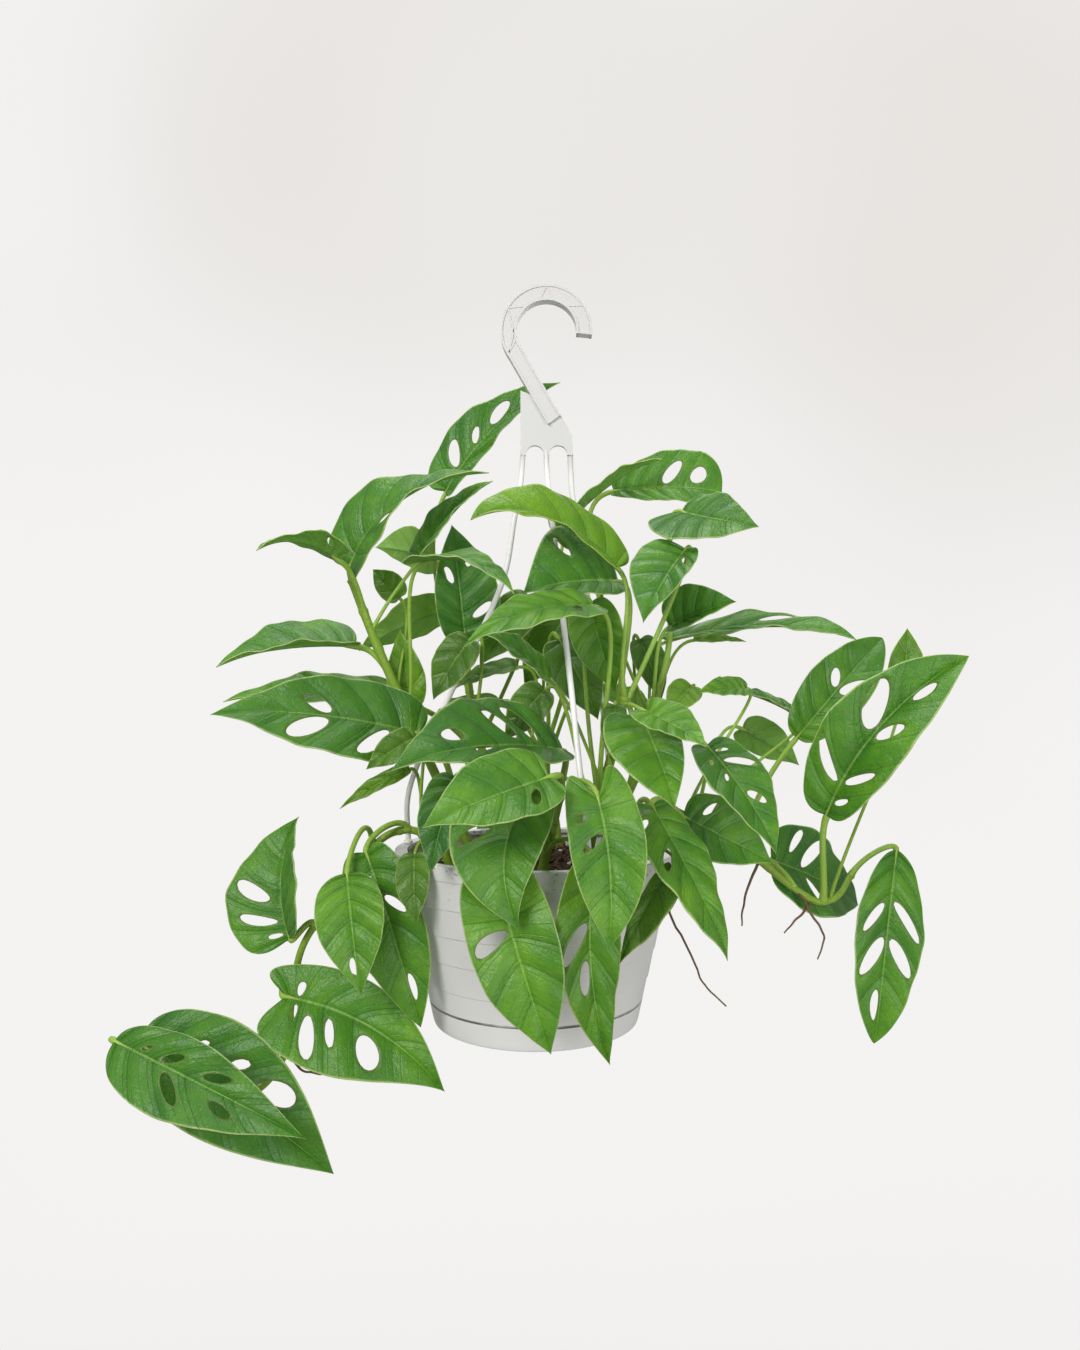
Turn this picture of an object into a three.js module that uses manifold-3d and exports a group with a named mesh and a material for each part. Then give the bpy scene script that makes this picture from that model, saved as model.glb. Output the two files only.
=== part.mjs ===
// Monstera adansonii in a white plastic hanging pot.
// Millimetres, +Z up. The origin is the inside of the hook's crown, where a rod carries the pot.
// Everything is drawn in the pot's frame (pot axis at x = y = 0, saucer standing on z = 0) and
// moved to the hook at the end.

import * as THREE from "three";
import { mergeVertices } from "three/addons/utils/BufferGeometryUtils.js";
import Module from "manifold-3d";

const wasm = await Module();
wasm.setup();

// ---------------------------------------------------------------------------------------------
// Driving dimensions
// ---------------------------------------------------------------------------------------------

const SEAT = 0.3; // air left between two solids that touch
const LATHE_SIDES = 28;
const FUSE_TOLERANCE = 0.08; // slivers smaller than this are closed up where solids fuse

const SAUCER = { floorRadius: 56.5, cornerRadius: 60.4, rimRadius: 62.6, height: 14, wall: 1.5 };

const POT = {
  height: 101, // rim above the underside of the saucer
  rimRadius: 82.8,
  seamRadius: 62.6, // where the wall meets the saucer's rim
  seamHeight: SAUCER.height + 0.4,
  wall: 1.8,
  ringHeights: [28.2, 44.7, 60.7, 76.6, 92.6], // moulded steps round the wall
  ringStep: 0.6,
  spigotTop: 60.3, // the foot that drops into the saucer
  spigotBottom: 56.8,
  lipInner: 75.4,
  lipDepth: 2.8,
  drainHoles: 5,
  drainRadius: 4,
  drainCircle: 38,
};

const SOIL = { edgeHeight: 89, crownHeight: 94.5, gap: 0.5 };

const HOOK = {
  centre: [6.1, 404.9],
  outerRadius: 27,
  innerRadius: 17.7,
  startAngle: -6, // open end, degrees from +X
  endAngle: 216, // where the arc runs into the neck
  neckEnd: [10.7, 352.4],
  depth: 8, // front to back
  web: 1.4, // sheet between the two flanges
  flange: 1.7,
  ribHalf: 0.65,
  samples: 18, // corners along the arc
  pockets: 7,
};

const PLATE = {
  outline: [[-9.1, 370], [-9.1, 332], [-5.9, 332], [4.6, 332], [7.8, 332], [18.4, 332], [21.9, 332]],
  shoulder: [[21.4, 343], [16.4, 352.6], [10, 362]],
  archHeight: 5.4,
  depth: 3.4,
};

const STRAND = {
  radius: 1.65,
  sides: 6,
  footCircle: 77.8, // radius of the three holes in the pot's lip
  holeRadius: 1.75,
  pinRadius: 1.25,
  collarRadius: 2.7,
  collarHeight: 2.4,
  barbRadius: 2,
  barbLength: 3.4,
};

// The three strands, from the plate down to the lip, and the lip hole's bearing from the front.
const STRANDS = [
  {
    bearing: -99,
    route: [[-7.5, 0, 336], [-8.3, 1, 324], [-9.6, 1, 311], [-12.6, 2, 296], [-18, 4, 264],
      [-26, 6, 243], [-48, 10, 198], [-72, 13, 147], [-77.5, 13, 127]],
  },
  {
    bearing: 21,
    route: [[6.2, 0, 336], [6.4, -2, 324], [7.7, -6, 308], [10.5, -17, 282], [13, -27, 258],
      [15.5, -38, 231], [19, -50, 198], [23.5, -63, 152], [27.2, -72, 118]],
  },
  {
    bearing: 141,
    route: [[20.1, 0, 336], [20.6, 3, 324], [21.6, 7, 311], [24.4, 12, 296], [29.5, 21, 263],
      [35, 30, 232], [40.5, 41, 192], [46, 53, 150], [48.8, 60, 120]],
  },
];

// Stems and trailing vines, from inside the soil outwards.
const STEM_SIDES = 6;
const STEM_STEP = 20; // length of one straight piece of stem
const STEMS = [
  { name: "stem_left", radius: 3.1, route: [[-32, 6, 72], [-38, 6, 95], [-59, 3, 142], [-80, 1, 188],
    [-97, -1, 228], [-108, -4, 258]] },
  { name: "stem_back_left", radius: 2.9, route: [[-16, 30, 72], [-18, 32, 96], [-30, 37, 140],
    [-40, 39, 182], [-45, 38, 212]] },
  { name: "stem_centre", radius: 3.2, route: [[26, -14, 72], [29, -16, 95], [37, -22, 132], [45, -27, 166],
    [50, -30, 190]] },
  { name: "stem_right", radius: 3, route: [[44, 16, 72], [47, 15, 95], [56, 12, 132], [65, 8, 166],
    [70, 6, 186]] },
  { name: "stem_front", radius: 3, route: [[3, -40, 72], [4, -43, 95], [8, -47, 114], [13, -51, 136]] },
  { name: "stem_edge", radius: 2.6, route: [[-44, -32, 72], [-48, -34, 95], [-54, -38, 112],
    [-62, -42, 122]] },
  { name: "stem_rear", radius: 2.8, route: [[14, 44, 72], [14, 47, 95], [10, 53, 124], [4, 58, 150]] },
  { name: "vine_right", radius: 2.3, route: [[42, -36, 74], [46, -37, 95], [54, -37, 118], [65, -35, 131],
    [81, -30, 125], [97, -25, 115], [128, -18, 96], [148, -15, 80], [164, -12, 71], [176, -6, 73],
    [188, 8, 82]] },
  { name: "vine_left", radius: 2.3, route: [[-58, -14, 76], [-60, -15, 95], [-67, -17, 112],
    [-82, -18, 112], [-97, -18, 100], [-118, -16, 71], [-135, -13, 45], [-142, -10, 12],
    [-146, -8, -18], [-162, -14, -38], [-192, -30, -34], [-224, -40, -14]] },
];

// ---------------------------------------------------------------------------------------------
// Leaves
// ---------------------------------------------------------------------------------------------

const BLADE = {
  thickness: 0.8,
  stations: [0, 0.13, 0.29, 0.45, 0.61, 0.79, 1], // side veins, as shares of the margin
  sproutStations: [0, 0.2, 0.46, 0.74, 1],
  holeCorners: 5,
  basalPoint: 0.04, // extra margin point that rounds the base
  widthShare: 0.46, // usual width over length
  archShare: 0.06, // usual rise of the midrib over length
  lobe: 1.8, // how far the margin swings back behind the petiole
  swell: 0.75, // how the margin leaves the base: share of the margin to this power
  taper: 1.25, // how it runs in to the tip, usually
  fold: 12, // usual angle of each half against the blade's plane, degrees
  wave: 0.016, // margin wave over length
};

const PETIOLE = {
  radius: 1.5,
  sides: 4,
  stepLength: 34,
  sharpTurn: 2.2, // radians; a petiole that turns further gets more steps
  sink: 0.09, // how far it runs on under the midrib, over length
};

// Holes lie between two side veins. Each: side, place in counts of side veins, place across the
// half, reach across, reach in counts of side veins.
const HOLES = {
  none: [],
  one: [[1, 2.5, 0.5, 0.24, 0.25]],
  two: [[1, 2.5, 0.5, 0.26, 0.28], [-1, 1.5, 0.5, 0.24, 0.25]],
  three: [[1, 1.5, 0.46, 0.24, 0.25], [-1, 2.5, 0.5, 0.27, 0.29], [1, 3.5, 0.42, 0.2, 0.22]],
  four: [[1, 2.5, 0.52, 0.28, 0.3], [-1, 1.5, 0.5, 0.26, 0.28], [-1, 3.5, 0.42, 0.22, 0.25],
    [1, 1.5, 0.42, 0.2, 0.21]],
  six: [[1, 1.5, 0.54, 0.27, 0.29], [1, 2.5, 0.5, 0.3, 0.31], [1, 3.5, 0.44, 0.24, 0.25],
    [-1, 1.5, 0.52, 0.28, 0.29], [-1, 2.5, 0.5, 0.29, 0.31], [-1, 3.5, 0.42, 0.22, 0.23]],
};

function leaf(name, stem, at, base, tip, face, options = {}) {
  const length = new THREE.Vector3(...base).distanceTo(new THREE.Vector3(...tip));
  return {
    name, stem, at, base, tip, face,
    tipFace: face,
    length,
    width: length * BLADE.widthShare,
    arch: length * BLADE.archShare,
    bow: 0, // sideways bend of the midrib, towards the left half
    lobe: BLADE.lobe,
    taper: BLADE.taper,
    skew: 0, // share by which the left half is the wider one
    fold: BLADE.fold,
    stations: BLADE.stations,
    holes: HOLES.two,
    lift: 0.4, // how steeply the petiole leaves its stem
    ...options,
  };
}

// Each leaf: name, stem, place on it (0 root, 1 end), blade base, blade tip, upper face's direction.
const LEAVES = [
  leaf("leaf_left_top", "stem_left", 1, [-109, -6, 265], [-27, -25, 320], [-5, -8, 2],
    { tipFace: [0, -1, 9], width: 46, arch: 14, bow: 7, skew: 0.2, holes: [[-1, 3.38, 0.72, 0.16, 0.16]] }),
  leaf("leaf_left_far", "stem_left", 0.84, [-111, -27, 268], [-149, -62, 270], [0, 1, 9],
    { width: 36, arch: 7, skew: -0.1, holes: HOLES.one }),
  leaf("leaf_left_behind", "stem_back_left", 1, [-65, 42, 276], [-104, 62, 286], [0, 7, 5],
    { width: 34, holes: HOLES.none }),
  leaf("leaf_left_spear", "stem_left", 0.8, [-70, -2, 270], [-26, -8, 317], [-3, -4, 5],
    { width: 27, fold: 20, holes: HOLES.none }),
  leaf("leaf_back_dark", "stem_back_left", 0.72, [-43, 17, 224], [-52, 26, 296], [1, -9, 1],
    { width: 40, skew: -0.2, holes: [[1, 4.31, 0.5, 0.24, 0.24], [-1, 2.53, 0.51, 0.26, 0.24],
        [-1, 4.73, 0.6, 0.2, 0.2]] }),
  leaf("leaf_mid_flat", "stem_left", 0.55, [-62, -34, 266], [-10, -74, 246], [0, -2, 9],
    { width: 28, arch: 8, lobe: 4, holes: HOLES.one }),
  leaf("leaf_back_lime", "stem_back_left", 0.78, [-57, 48, 244], [-110, 26, 218], [0, 7, 6],
    { width: 32, holes: HOLES.none }),
  leaf("leaf_left_wing", "stem_left", 0.48, [-106, -2, 220], [-181, -28, 209], [0, -2, 9],
    { width: 44, arch: 4, skew: -0.4, fold: 20, holes: HOLES.none }),
  leaf("leaf_left_long_back", "stem_back_left", 0.5, [-83, 21, 186], [-189, 12, 189], [0, -4, 8],
    { width: 44, arch: 4, holes: [[-1, 3.41, 0.24, 0.12, 0.16], [-1, 4.39, 0.51, 0.24, 0.3]] }),
  leaf("leaf_left_long", "stem_left", 0.2, [-66, -22, 169], [-174, -58, 183], [0, -8, 5],
    { width: 52, arch: 2, bow: -4, fold: 6, holes: [[1, 2.53, 0.49, 0.36, 0.3], [1, 4.37, 0.48, 0.4, 0.3],
        [-1, 4.29, 0.34, 0.26, 0.22]] }),
  leaf("leaf_front_wide", "stem_front", 1, [15, -42, 161], [-72, -100, 157], [0, -6, 8],
    { width: 60, arch: 8, lobe: 1, skew: -0.15, fold: 16, holes: [[1, 4.36, 0.29, 0.2, 0.2],
        [-1, 2.53, 0.42, 0.34, 0.3], [-1, 3.34, 0.42, 0.3, 0.26], [-1, 4.73, 0.45, 0.2, 0.2]] }),
  leaf("leaf_front_tongue", "stem_front", 0.78, [7, -100, 152], [-52, -136, 133], [-1, -8, 6],
    { width: 44, arch: 2, holes: HOLES.one }),
  leaf("leaf_left_hang", "stem_edge", 0.8, [-42, -62, 148], [-54, -84, 101], [-2, -9, 2],
    { width: 28, holes: HOLES.none }),
  leaf("leaf_front_hang_left", "stem_front", 0.7, [-1, -84, 144], [-8, -112, 79], [-1, -9, 3],
    { width: 50, arch: 6, bow: -10, skew: -0.2, holes: [[-1, 3.53, 0.62, 0.26, 0.2]] }),
  leaf("leaf_pot_front_left", "stem_front", 0.58, [-16, -96, 88], [8, -102, 14], [-1, -9, 2],
    { width: 46, arch: 4, lobe: 6, holes: [[1, 1.59, 0.24, 0.16, 0.14], [-1, 2.67, 0.48, 0.4, 0.26]] }),
  leaf("leaf_pot_front_right", "stem_front", 0.46, [30, -88, 105], [39, -88, 3], [2, -9, 1],
    { width: 34, bow: -8, skew: -0.1, holes: [[-1, 3.33, 0.48, 0.4, 0.26], [-1, 4.37, 0.32, 0.24, 0.3]] }),
  leaf("leaf_front_hang_right", "stem_front", 0.88, [31, -98, 142], [35, -124, 73], [0, -9, 3],
    { width: 38, bow: 3, lobe: 5, taper: 1.05, holes: [[-1, 2.28, 0.6, 0.16, 0.14],
        [-1, 3.34, 0.38, 0.3, 0.2]] }),
  leaf("leaf_rim_right", "vine_right", 0.2, [61, -72, 134], [98, -96, 60], [4, -6, 5],
    { width: 40, bow: -3, skew: -0.25, holes: [[-1, 1.79, 0.68, 0.2, 0.14], [-1, 3.27, 0.54, 0.24, 0.2]] }),
  leaf("leaf_heart_top", "stem_centre", 0.77, [57, -82, 184], [84, -108, 168], [-2, -4, 9],
    { width: 26, arch: 1, lobe: 4, holes: HOLES.none }),
  leaf("leaf_heart_hang", "stem_centre", 0.7, [57, -64, 179], [69, -104, 137], [1, -9, 2],
    { width: 40, lobe: 3, skew: -0.3, lift: 0.2, holes: HOLES.none }),
  leaf("leaf_right_pierced", "stem_right", 0.4, [91, -62, 165], [122, -94, 113], [3, -8, 5],
    { width: 36, holes: [[1, 1.79, 0.28, 0.2, 0.14], [1, 2.71, 0.48, 0.4, 0.22], [1, 4.47, 0.38, 0.3, 0.2],
        [-1, 2.34, 0.41, 0.14, 0.14], [-1, 3.44, 0.31, 0.14, 0.14]] }),
  leaf("leaf_right_big", "vine_right", 0.82, [165, -24, 123], [238, -44, 214], [-6, -8, 1],
    { width: 56, arch: 8, bow: 8, lobe: 1, taper: 0.95, skew: -0.05, fold: 30,
      holes: [[1, 2.62, 0.48, 0.4, 0.2], [1, 4.41, 0.48, 0.4, 0.34], [-1, 1.75, 0.31, 0.2, 0.18],
        [-1, 2.73, 0.4, 0.3, 0.2], [-1, 4.27, 0.36, 0.26, 0.2], [-1, 5.25, 0.32, 0.24, 0.18]] }),
  leaf("leaf_right_big_back", "vine_right", 0.56, [156, 8, 165], [211, 18, 226], [-3, -9, 1],
    { width: 38, arch: 3, lobe: 1, taper: 0.8, holes: [[1, 4.39, 0.32, 0.24, 0.2],
        [-1, 4.37, 0.48, 0.4, 0.3]] }),
  leaf("leaf_right_long", "stem_right", 0.78, [82, 37, 224], [188, -4, 226], [0, -3, 9],
    { tipFace: [0, -5, 7], width: 24, arch: 5, bow: 9, taper: 0.9, skew: 0.3, holes: [
        [1, 4.37, 0.58, 0.3, 0.3]] }),
  leaf("leaf_right_hood", "stem_right", 0.78, [78, -8, 231], [112, -32, 244], [0, -8, 4],
    { width: 28, skew: 0.3, fold: 30, holes: HOLES.none }),
  leaf("leaf_right_shield", "stem_centre", 0.92, [84, -32, 273], [57, -60, 231], [-3, -8, 4],
    { width: 34, skew: -0.3, holes: HOLES.one }),
  leaf("leaf_right_top_round", "stem_right", 1, [86, 0, 299], [124, -36, 286], [0, -8, 5],
    { width: 52, arch: 2, bow: -3, lobe: 2, skew: -0.3, fold: 15, holes: HOLES.none }),
  leaf("leaf_top_right", "stem_right", 0.68, [49, 44, 319], [115, 28, 316], [0, -9, 4],
    { width: 38, taper: 0.4, skew: 0.35, holes: [[1, 4.35, 0.38, 0.3, 0.28],
        [1, 5.29, 0.38, 0.24, 0.22]] }),
  leaf("leaf_top_right_edge", "stem_right", 0.58, [27, 20, 304], [76, 12, 334], [-2, 0, 9],
    { width: 26, holes: HOLES.one }),
  leaf("leaf_crown_lime", "stem_centre", 1, [46, -38, 262], [-35, -62, 287], [0, -6, 8],
    { width: 32, arch: 12, bow: -7, taper: 0.9, skew: -0.3, fold: 20, holes: HOLES.none }),
  leaf("leaf_crown_under", "stem_centre", 0.84, [47, -20, 256], [-7, -48, 248], [0, -8, 6],
    { width: 54, skew: -0.45, holes: [[-1, 3.73, 0.68, 0.2, 0.2]] }),
  leaf("leaf_centre_light", "stem_centre", 0.5, [31, -53, 240], [-37, -88, 218], [0, -6, 8],
    { width: 34, arch: 8, skew: 0.2, holes: HOLES.one }),
  leaf("leaf_centre_pale", "stem_centre", 0.48, [31, -8, 244], [46, -14, 192], [-2, -9, 1],
    { width: 32, holes: HOLES.none }),
  leaf("leaf_centre_brown", "stem_centre", 0.42, [8, -40, 200], [-26, -66, 225], [-2, -6, 7],
    { width: 26, holes: HOLES.none }),
  leaf("leaf_right_cup", "vine_right", 0.42, [124, -4, 195], [91, -30, 193], [-2, -8, 4],
    { width: 15, holes: HOLES.none }),
  leaf("leaf_right_low_edge", "vine_right", 0.5, [158, 28, 180], [119, 34, 193], [0, -2, 9],
    { width: 20, holes: HOLES.none }),
  leaf("leaf_right_pale", "vine_right", 0.46, [126, 22, 170], [163, 30, 147], [2, 8, 3],
    { width: 26, holes: HOLES.none }),
  leaf("leaf_right_under", "vine_right", 0.3, [82, -36, 124], [130, -46, 100], [0, -8, 6],
    { width: 42, arch: 0, holes: HOLES.one }),
  leaf("leaf_right_fan", "vine_right", 0.7, [139, 0, 93], [206, 44, 57], [1, -8, 5],
    { width: 56, holes: [[1, 2.27, 0.58, 0.3, 0.2], [1, 3.37, 0.48, 0.4, 0.3],
        [-1, 3.5, 0.46, 0.3, 0.2]] }),
  leaf("leaf_right_end", "vine_right", 1, [215, 6, 98], [198, -8, -14], [0, -9, 1],
    { width: 40, arch: 8, bow: -3, lobe: 0.3, taper: 0.85, holes: [[1, 3.29, 0.48, 0.4, 0.22],
        [1, 4.31, 0.48, 0.4, 0.22], [-1, 3.29, 0.5, 0.3, 0.22], [-1, 4.33, 0.48, 0.4, 0.26],
        [-1, 5.36, 0.37, 0.24, 0.24]] }),
  leaf("leaf_left_up", "vine_left", 0.5, [-142, -14, 50], [-146, 20, 117], [-5, -8, 1],
    { width: 66, bow: 5, fold: 30, holes: [[1, 1.5, 0.22, 0.14, 0.2], [1, 2.5, 0.42, 0.32, 0.24],
        [1, 3.6, 0.54, 0.34, 0.28]] }),
  leaf("leaf_left_rim_light", "vine_left", 0.34, [-102, -52, 95], [-91, -72, 35], [0, -9, 2],
    { width: 38, lobe: 0.7, lift: 0.8, holes: [[-1, 5.32, 0.32, 0.24, 0.24]] }),
  leaf("leaf_left_rim_dark", "vine_left", 0.22, [-94, -38, 104], [-63, -48, 9], [-1, -9, 1],
    { width: 42, bow: 3, taper: 1.05, holes: [[1, 3.27, 0.34, 0.26, 0.2], [1, 5.29, 0.32, 0.24, 0.22],
        [-1, 2.34, 0.22, 0.14, 0.16]] }),
  leaf("leaf_left_low", "vine_left", 0.6, [-140, -34, 23], [-49, -52, -23], [0, -9, 5],
    { width: 56, arch: 2, bow: 9, lobe: 3.4, taper: 1.2, skew: -0.24, holes: [[1, 1.77, 0.28, 0.2, 0.16],
        [-1, 1.77, 0.24, 0.14, 0.14], [-1, 2.44, 0.55, 0.33, 0.26], [-1, 3.23, 0.39, 0.22, 0.16],
        [-1, 4.37, 0.52, 0.3, 0.3]] }),
  leaf("leaf_left_end_back", "vine_left", 0.84, [-218, -44, 0], [-105, -74, -57], [0, -8, 5],
    { width: 60, arch: 3, bow: 3, lobe: 1, taper: 1.1, skew: 0.14, holes: [[1, 2.81, 0.43, 0.1, 0.12],
        [1, 3.79, 0.53, 0.12, 0.14], [1, 4.63, 0.62, 0.26, 0.3]] }),
  leaf("leaf_left_end", "vine_left", 1, [-221, -68, 10], [-113, -104, -25], [0, -8, 6],
    { width: 42, arch: 1, lobe: 0.6, skew: -0.15, holes: [[1, 2.41, 0.2, 0.12, 0.12],
        [1, 3.27, 0.28, 0.2, 0.2], [1, 4.31, 0.45, 0.24, 0.2], [-1, 3.47, 0.42, 0.3, 0.22],
        [-1, 4.64, 0.51, 0.2, 0.2]] }),
  leaf("leaf_top_back", "stem_back_left", 0.88, [-56, 30, 316], [14, 22, 383], [-3, -8, 3],
    { width: 31, arch: 2, bow: 7, skew: 0.4, holes: [[1, 2.63, 0.38, 0.3, 0.3], [1, 3.77, 0.28, 0.2, 0.16],
        [1, 4.63, 0.38, 0.3, 0.3]] }),
];

function sprout(name, stem, at, base, tip, face, options = {}) {
  const small = { stations: BLADE.sproutStations, holes: HOLES.none };
  return leaf(name, stem, at, base, tip, face, { ...small, ...options });
}

// Small and rearward leaves that are one growth with their stem.
const REAR = { stations: BLADE.stations };
const SPROUTS = [
  sprout("young_roll", "stem_left", 0.4, [-75, 10, 184], [-82, 10, 230], [-1, -9, 0],
    { width: 24, arch: 0 }),
  sprout("small_tip", "stem_left", 0.62, [-82, 12, 249], [-98, 10, 266], [-2, -7, 5], { width: 18 }),
  sprout("small_dark", "stem_edge", 1, [-65, -50, 169], [-91, -58, 152], [-1, -9, 3], { width: 18 }),
  sprout("small_narrow", "stem_edge", 0.9, [-71, -34, 150], [-110, -34, 128], [0, -8, 5], { width: 10 }),
  sprout("small_rim", "stem_edge", 0.7, [-65, -56, 106], [-63, -66, 71], [-2, -9, 1], { width: 20 }),
  sprout("small_fold", "vine_right", 0.1, [70, -82, 104], [42, -88, 56], [-5, -7, 2],
    { width: 20, skew: 0.4 }),
  sprout("small_edge", "vine_right", 0.85, [225, 24, 193], [230, 30, 232], [-1, -9, 1], { width: 22 }),
  sprout("small_thin", "stem_right", 0.63, [96, 15, 224], [128, 17, 223], [0, -8, 5], { width: 6 }),
  sprout("small_lime", "stem_right", 0.5, [91, -7, 196], [75, -22, 180], [-1, -8, 4], { width: 20 }),
  sprout("small_inner", "stem_centre", 0.7, [43, -52, 186], [41, -61, 154], [-1, -9, 1], { width: 15 }),
  sprout("inner_dark", "stem_back_left", 0.62, [-3, 31, 249], [-36, 34, 208], [-2, -8, 3], { width: 32 }),
  sprout("inner_low", "stem_back_left", 0.3, [-11, 21, 208], [-53, 18, 193], [0, -4, 8], { width: 20 }),
  sprout("inner_back", "stem_rear", 0.85, [14, 14, 224], [38, 14, 175], [1, -9, 2], { width: 34 }),
  sprout("inner_left", "stem_left", 0.3, [-38, -12, 223], [-60, -12, 188], [-2, -8, 3], { width: 26 }),
  sprout("inner_mid", "stem_centre", 0.55, [5, -20, 194], [-18, -20, 165], [-1, -8, 3], { width: 24 }),
  sprout("inner_right", "stem_right", 0.55, [63, 20, 224], [77, 20, 187], [2, -8, 2], { width: 22 }),
  sprout("crown_back", "stem_right", 0.9, [25, 2, 280], [7, 2, 309], [-2, -8, 2], { width: 20 }),
  sprout("inner_gap", "stem_rear", 1, [24, 42, 248], [-8, 42, 194], [-1, -9, 2], { width: 38 }),
  sprout("rear_left", "stem_rear", 1, [-24, 66, 186], [-78, 104, 160], [-3, 5, 8]),
  sprout("rear_right", "stem_rear", 0.9, [30, 72, 190], [84, 112, 176], [2, 5, 8],
    { ...REAR, holes: HOLES.one }),
  sprout("rear_high", "stem_rear", 1, [4, 78, 226], [-2, 136, 232], [0, 0, 9]),
  sprout("rear_hang_left", "stem_rear", 0.7, [-18, 96, 118], [-30, 112, 36], [-1, 9, 2],
    { ...REAR, holes: HOLES.one }),
  sprout("rear_hang_right", "stem_rear", 0.7, [34, 94, 116], [52, 108, 38], [1, 9, 2]),
];

// Aerial roots: a vine, and the route of each root away from it.
const ROOT_RADIUS = 0.7;
const ROOTS = [
  ["vine_right", [[128, -18, 96], [122, -22, 84], [118, -24, 70], [117, -24, 60]]],
  ["vine_right", [[150, -15, 79], [158, -18, 66], [165, -20, 52], [161, -20, 40]]],
  ["vine_right", [[160, -13, 72], [150, -20, 64], [141, -24, 56]]],
  ["vine_right", [[72, -34, 127], [74, -44, 114], [74, -55, 96], [71, -61, 78], [83, -62, 53],
    [89, -63, 39], [101, -64, 27]]],
  ["vine_left", [[-146, -9, -15], [-134, -10, -28], [-118, -10, -30]]],
];

// ---------------------------------------------------------------------------------------------
// Solids
// ---------------------------------------------------------------------------------------------

function vector([x, y, z]) {
  return new THREE.Vector3(x, y, z);
}

function solidOf(geometry) {
  const bare = geometry.clone();
  bare.deleteAttribute("normal");
  bare.deleteAttribute("uv");
  const merged = mergeVertices(bare, 1e-4);
  const vertProperties = new Float32Array(merged.attributes.position.array);
  const triVerts = new Uint32Array(merged.index.array);
  const solid = new wasm.Manifold(new wasm.Mesh({ numProp: 3, vertProperties, triVerts }));
  if (solid.volume() > 0) return solid;
  for (let i = 0; i < triVerts.length; i += 3) {
    [triVerts[i], triVerts[i + 1]] = [triVerts[i + 1], triVerts[i]];
  }
  return new wasm.Manifold(new wasm.Mesh({ numProp: 3, vertProperties, triVerts }));
}

function geometryOf(solid) {
  const { vertProperties, triVerts } = solid.getMesh();
  const geometry = new THREE.BufferGeometry();
  geometry.setAttribute("position", new THREE.BufferAttribute(vertProperties, 3));
  geometry.setIndex(new THREE.BufferAttribute(triVerts, 1));
  geometry.computeVertexNormals();
  return geometry;
}

function largestBody(solid) {
  return solid.decompose().reduce((best, body) => (body.volume() > best.volume() ? body : best));
}

function union(solids) {
  return solids.reduce((whole, solid) => whole.add(solid));
}

function lathe(profile, sides = LATHE_SIDES) {
  const points = profile.map(([radius, height]) => new THREE.Vector2(radius, height));
  const geometry = new THREE.LatheGeometry(points, sides);
  return solidOf(geometry.rotateX(Math.PI / 2));
}

function roundSection(radius, sides) {
  const shape = new THREE.Shape();
  for (let i = 0; i < sides; i += 1) {
    const angle = (i / sides) * 2 * Math.PI;
    shape[i === 0 ? "moveTo" : "lineTo"](radius * Math.cos(angle), radius * Math.sin(angle));
  }
  return shape;
}

function tube(curve, radius, sides, steps) {
  const section = roundSection(radius, sides);
  return solidOf(new THREE.ExtrudeGeometry(section, { steps, extrudePath: curve, bevelEnabled: false }));
}

// A flat outline drawn front on, in x and z, made `depth` thick about `middle` in y.
function plateSolid(shape, depth, middle = 0, curveSegments = 20) {
  const geometry = new THREE.ExtrudeGeometry(shape, { depth, bevelEnabled: false, curveSegments });
  geometry.translate(0, 0, -depth / 2 - middle);
  return solidOf(geometry.rotateX(Math.PI / 2));
}

// ---------------------------------------------------------------------------------------------
// Pot, saucer and soil
// ---------------------------------------------------------------------------------------------

function wallRadius(height) {
  const rise = (height - POT.seamHeight) / (POT.height - POT.seamHeight);
  return POT.seamRadius + rise * (POT.rimRadius - POT.seamRadius);
}

function saucerSolid() {
  const { floorRadius, cornerRadius, rimRadius, height, wall } = SAUCER;
  return lathe([
    [0, 0], [floorRadius, 0], [cornerRadius - 0.9, 1.2], [cornerRadius, 3.8], [rimRadius, height],
    [rimRadius - wall, height], [cornerRadius - wall, 4], [floorRadius + 0.9, wall], [0, wall],
  ]);
}

function potOuterWall() {
  const points = [[POT.spigotTop, POT.seamHeight - 0.4], [POT.spigotTop, POT.seamHeight],
    [POT.seamRadius, POT.seamHeight]];
  for (const height of POT.ringHeights) {
    points.push([wallRadius(height) - POT.ringStep / 2, height]);
    points.push([wallRadius(height) + POT.ringStep / 2, height + 0.3]);
  }
  return points;
}

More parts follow.
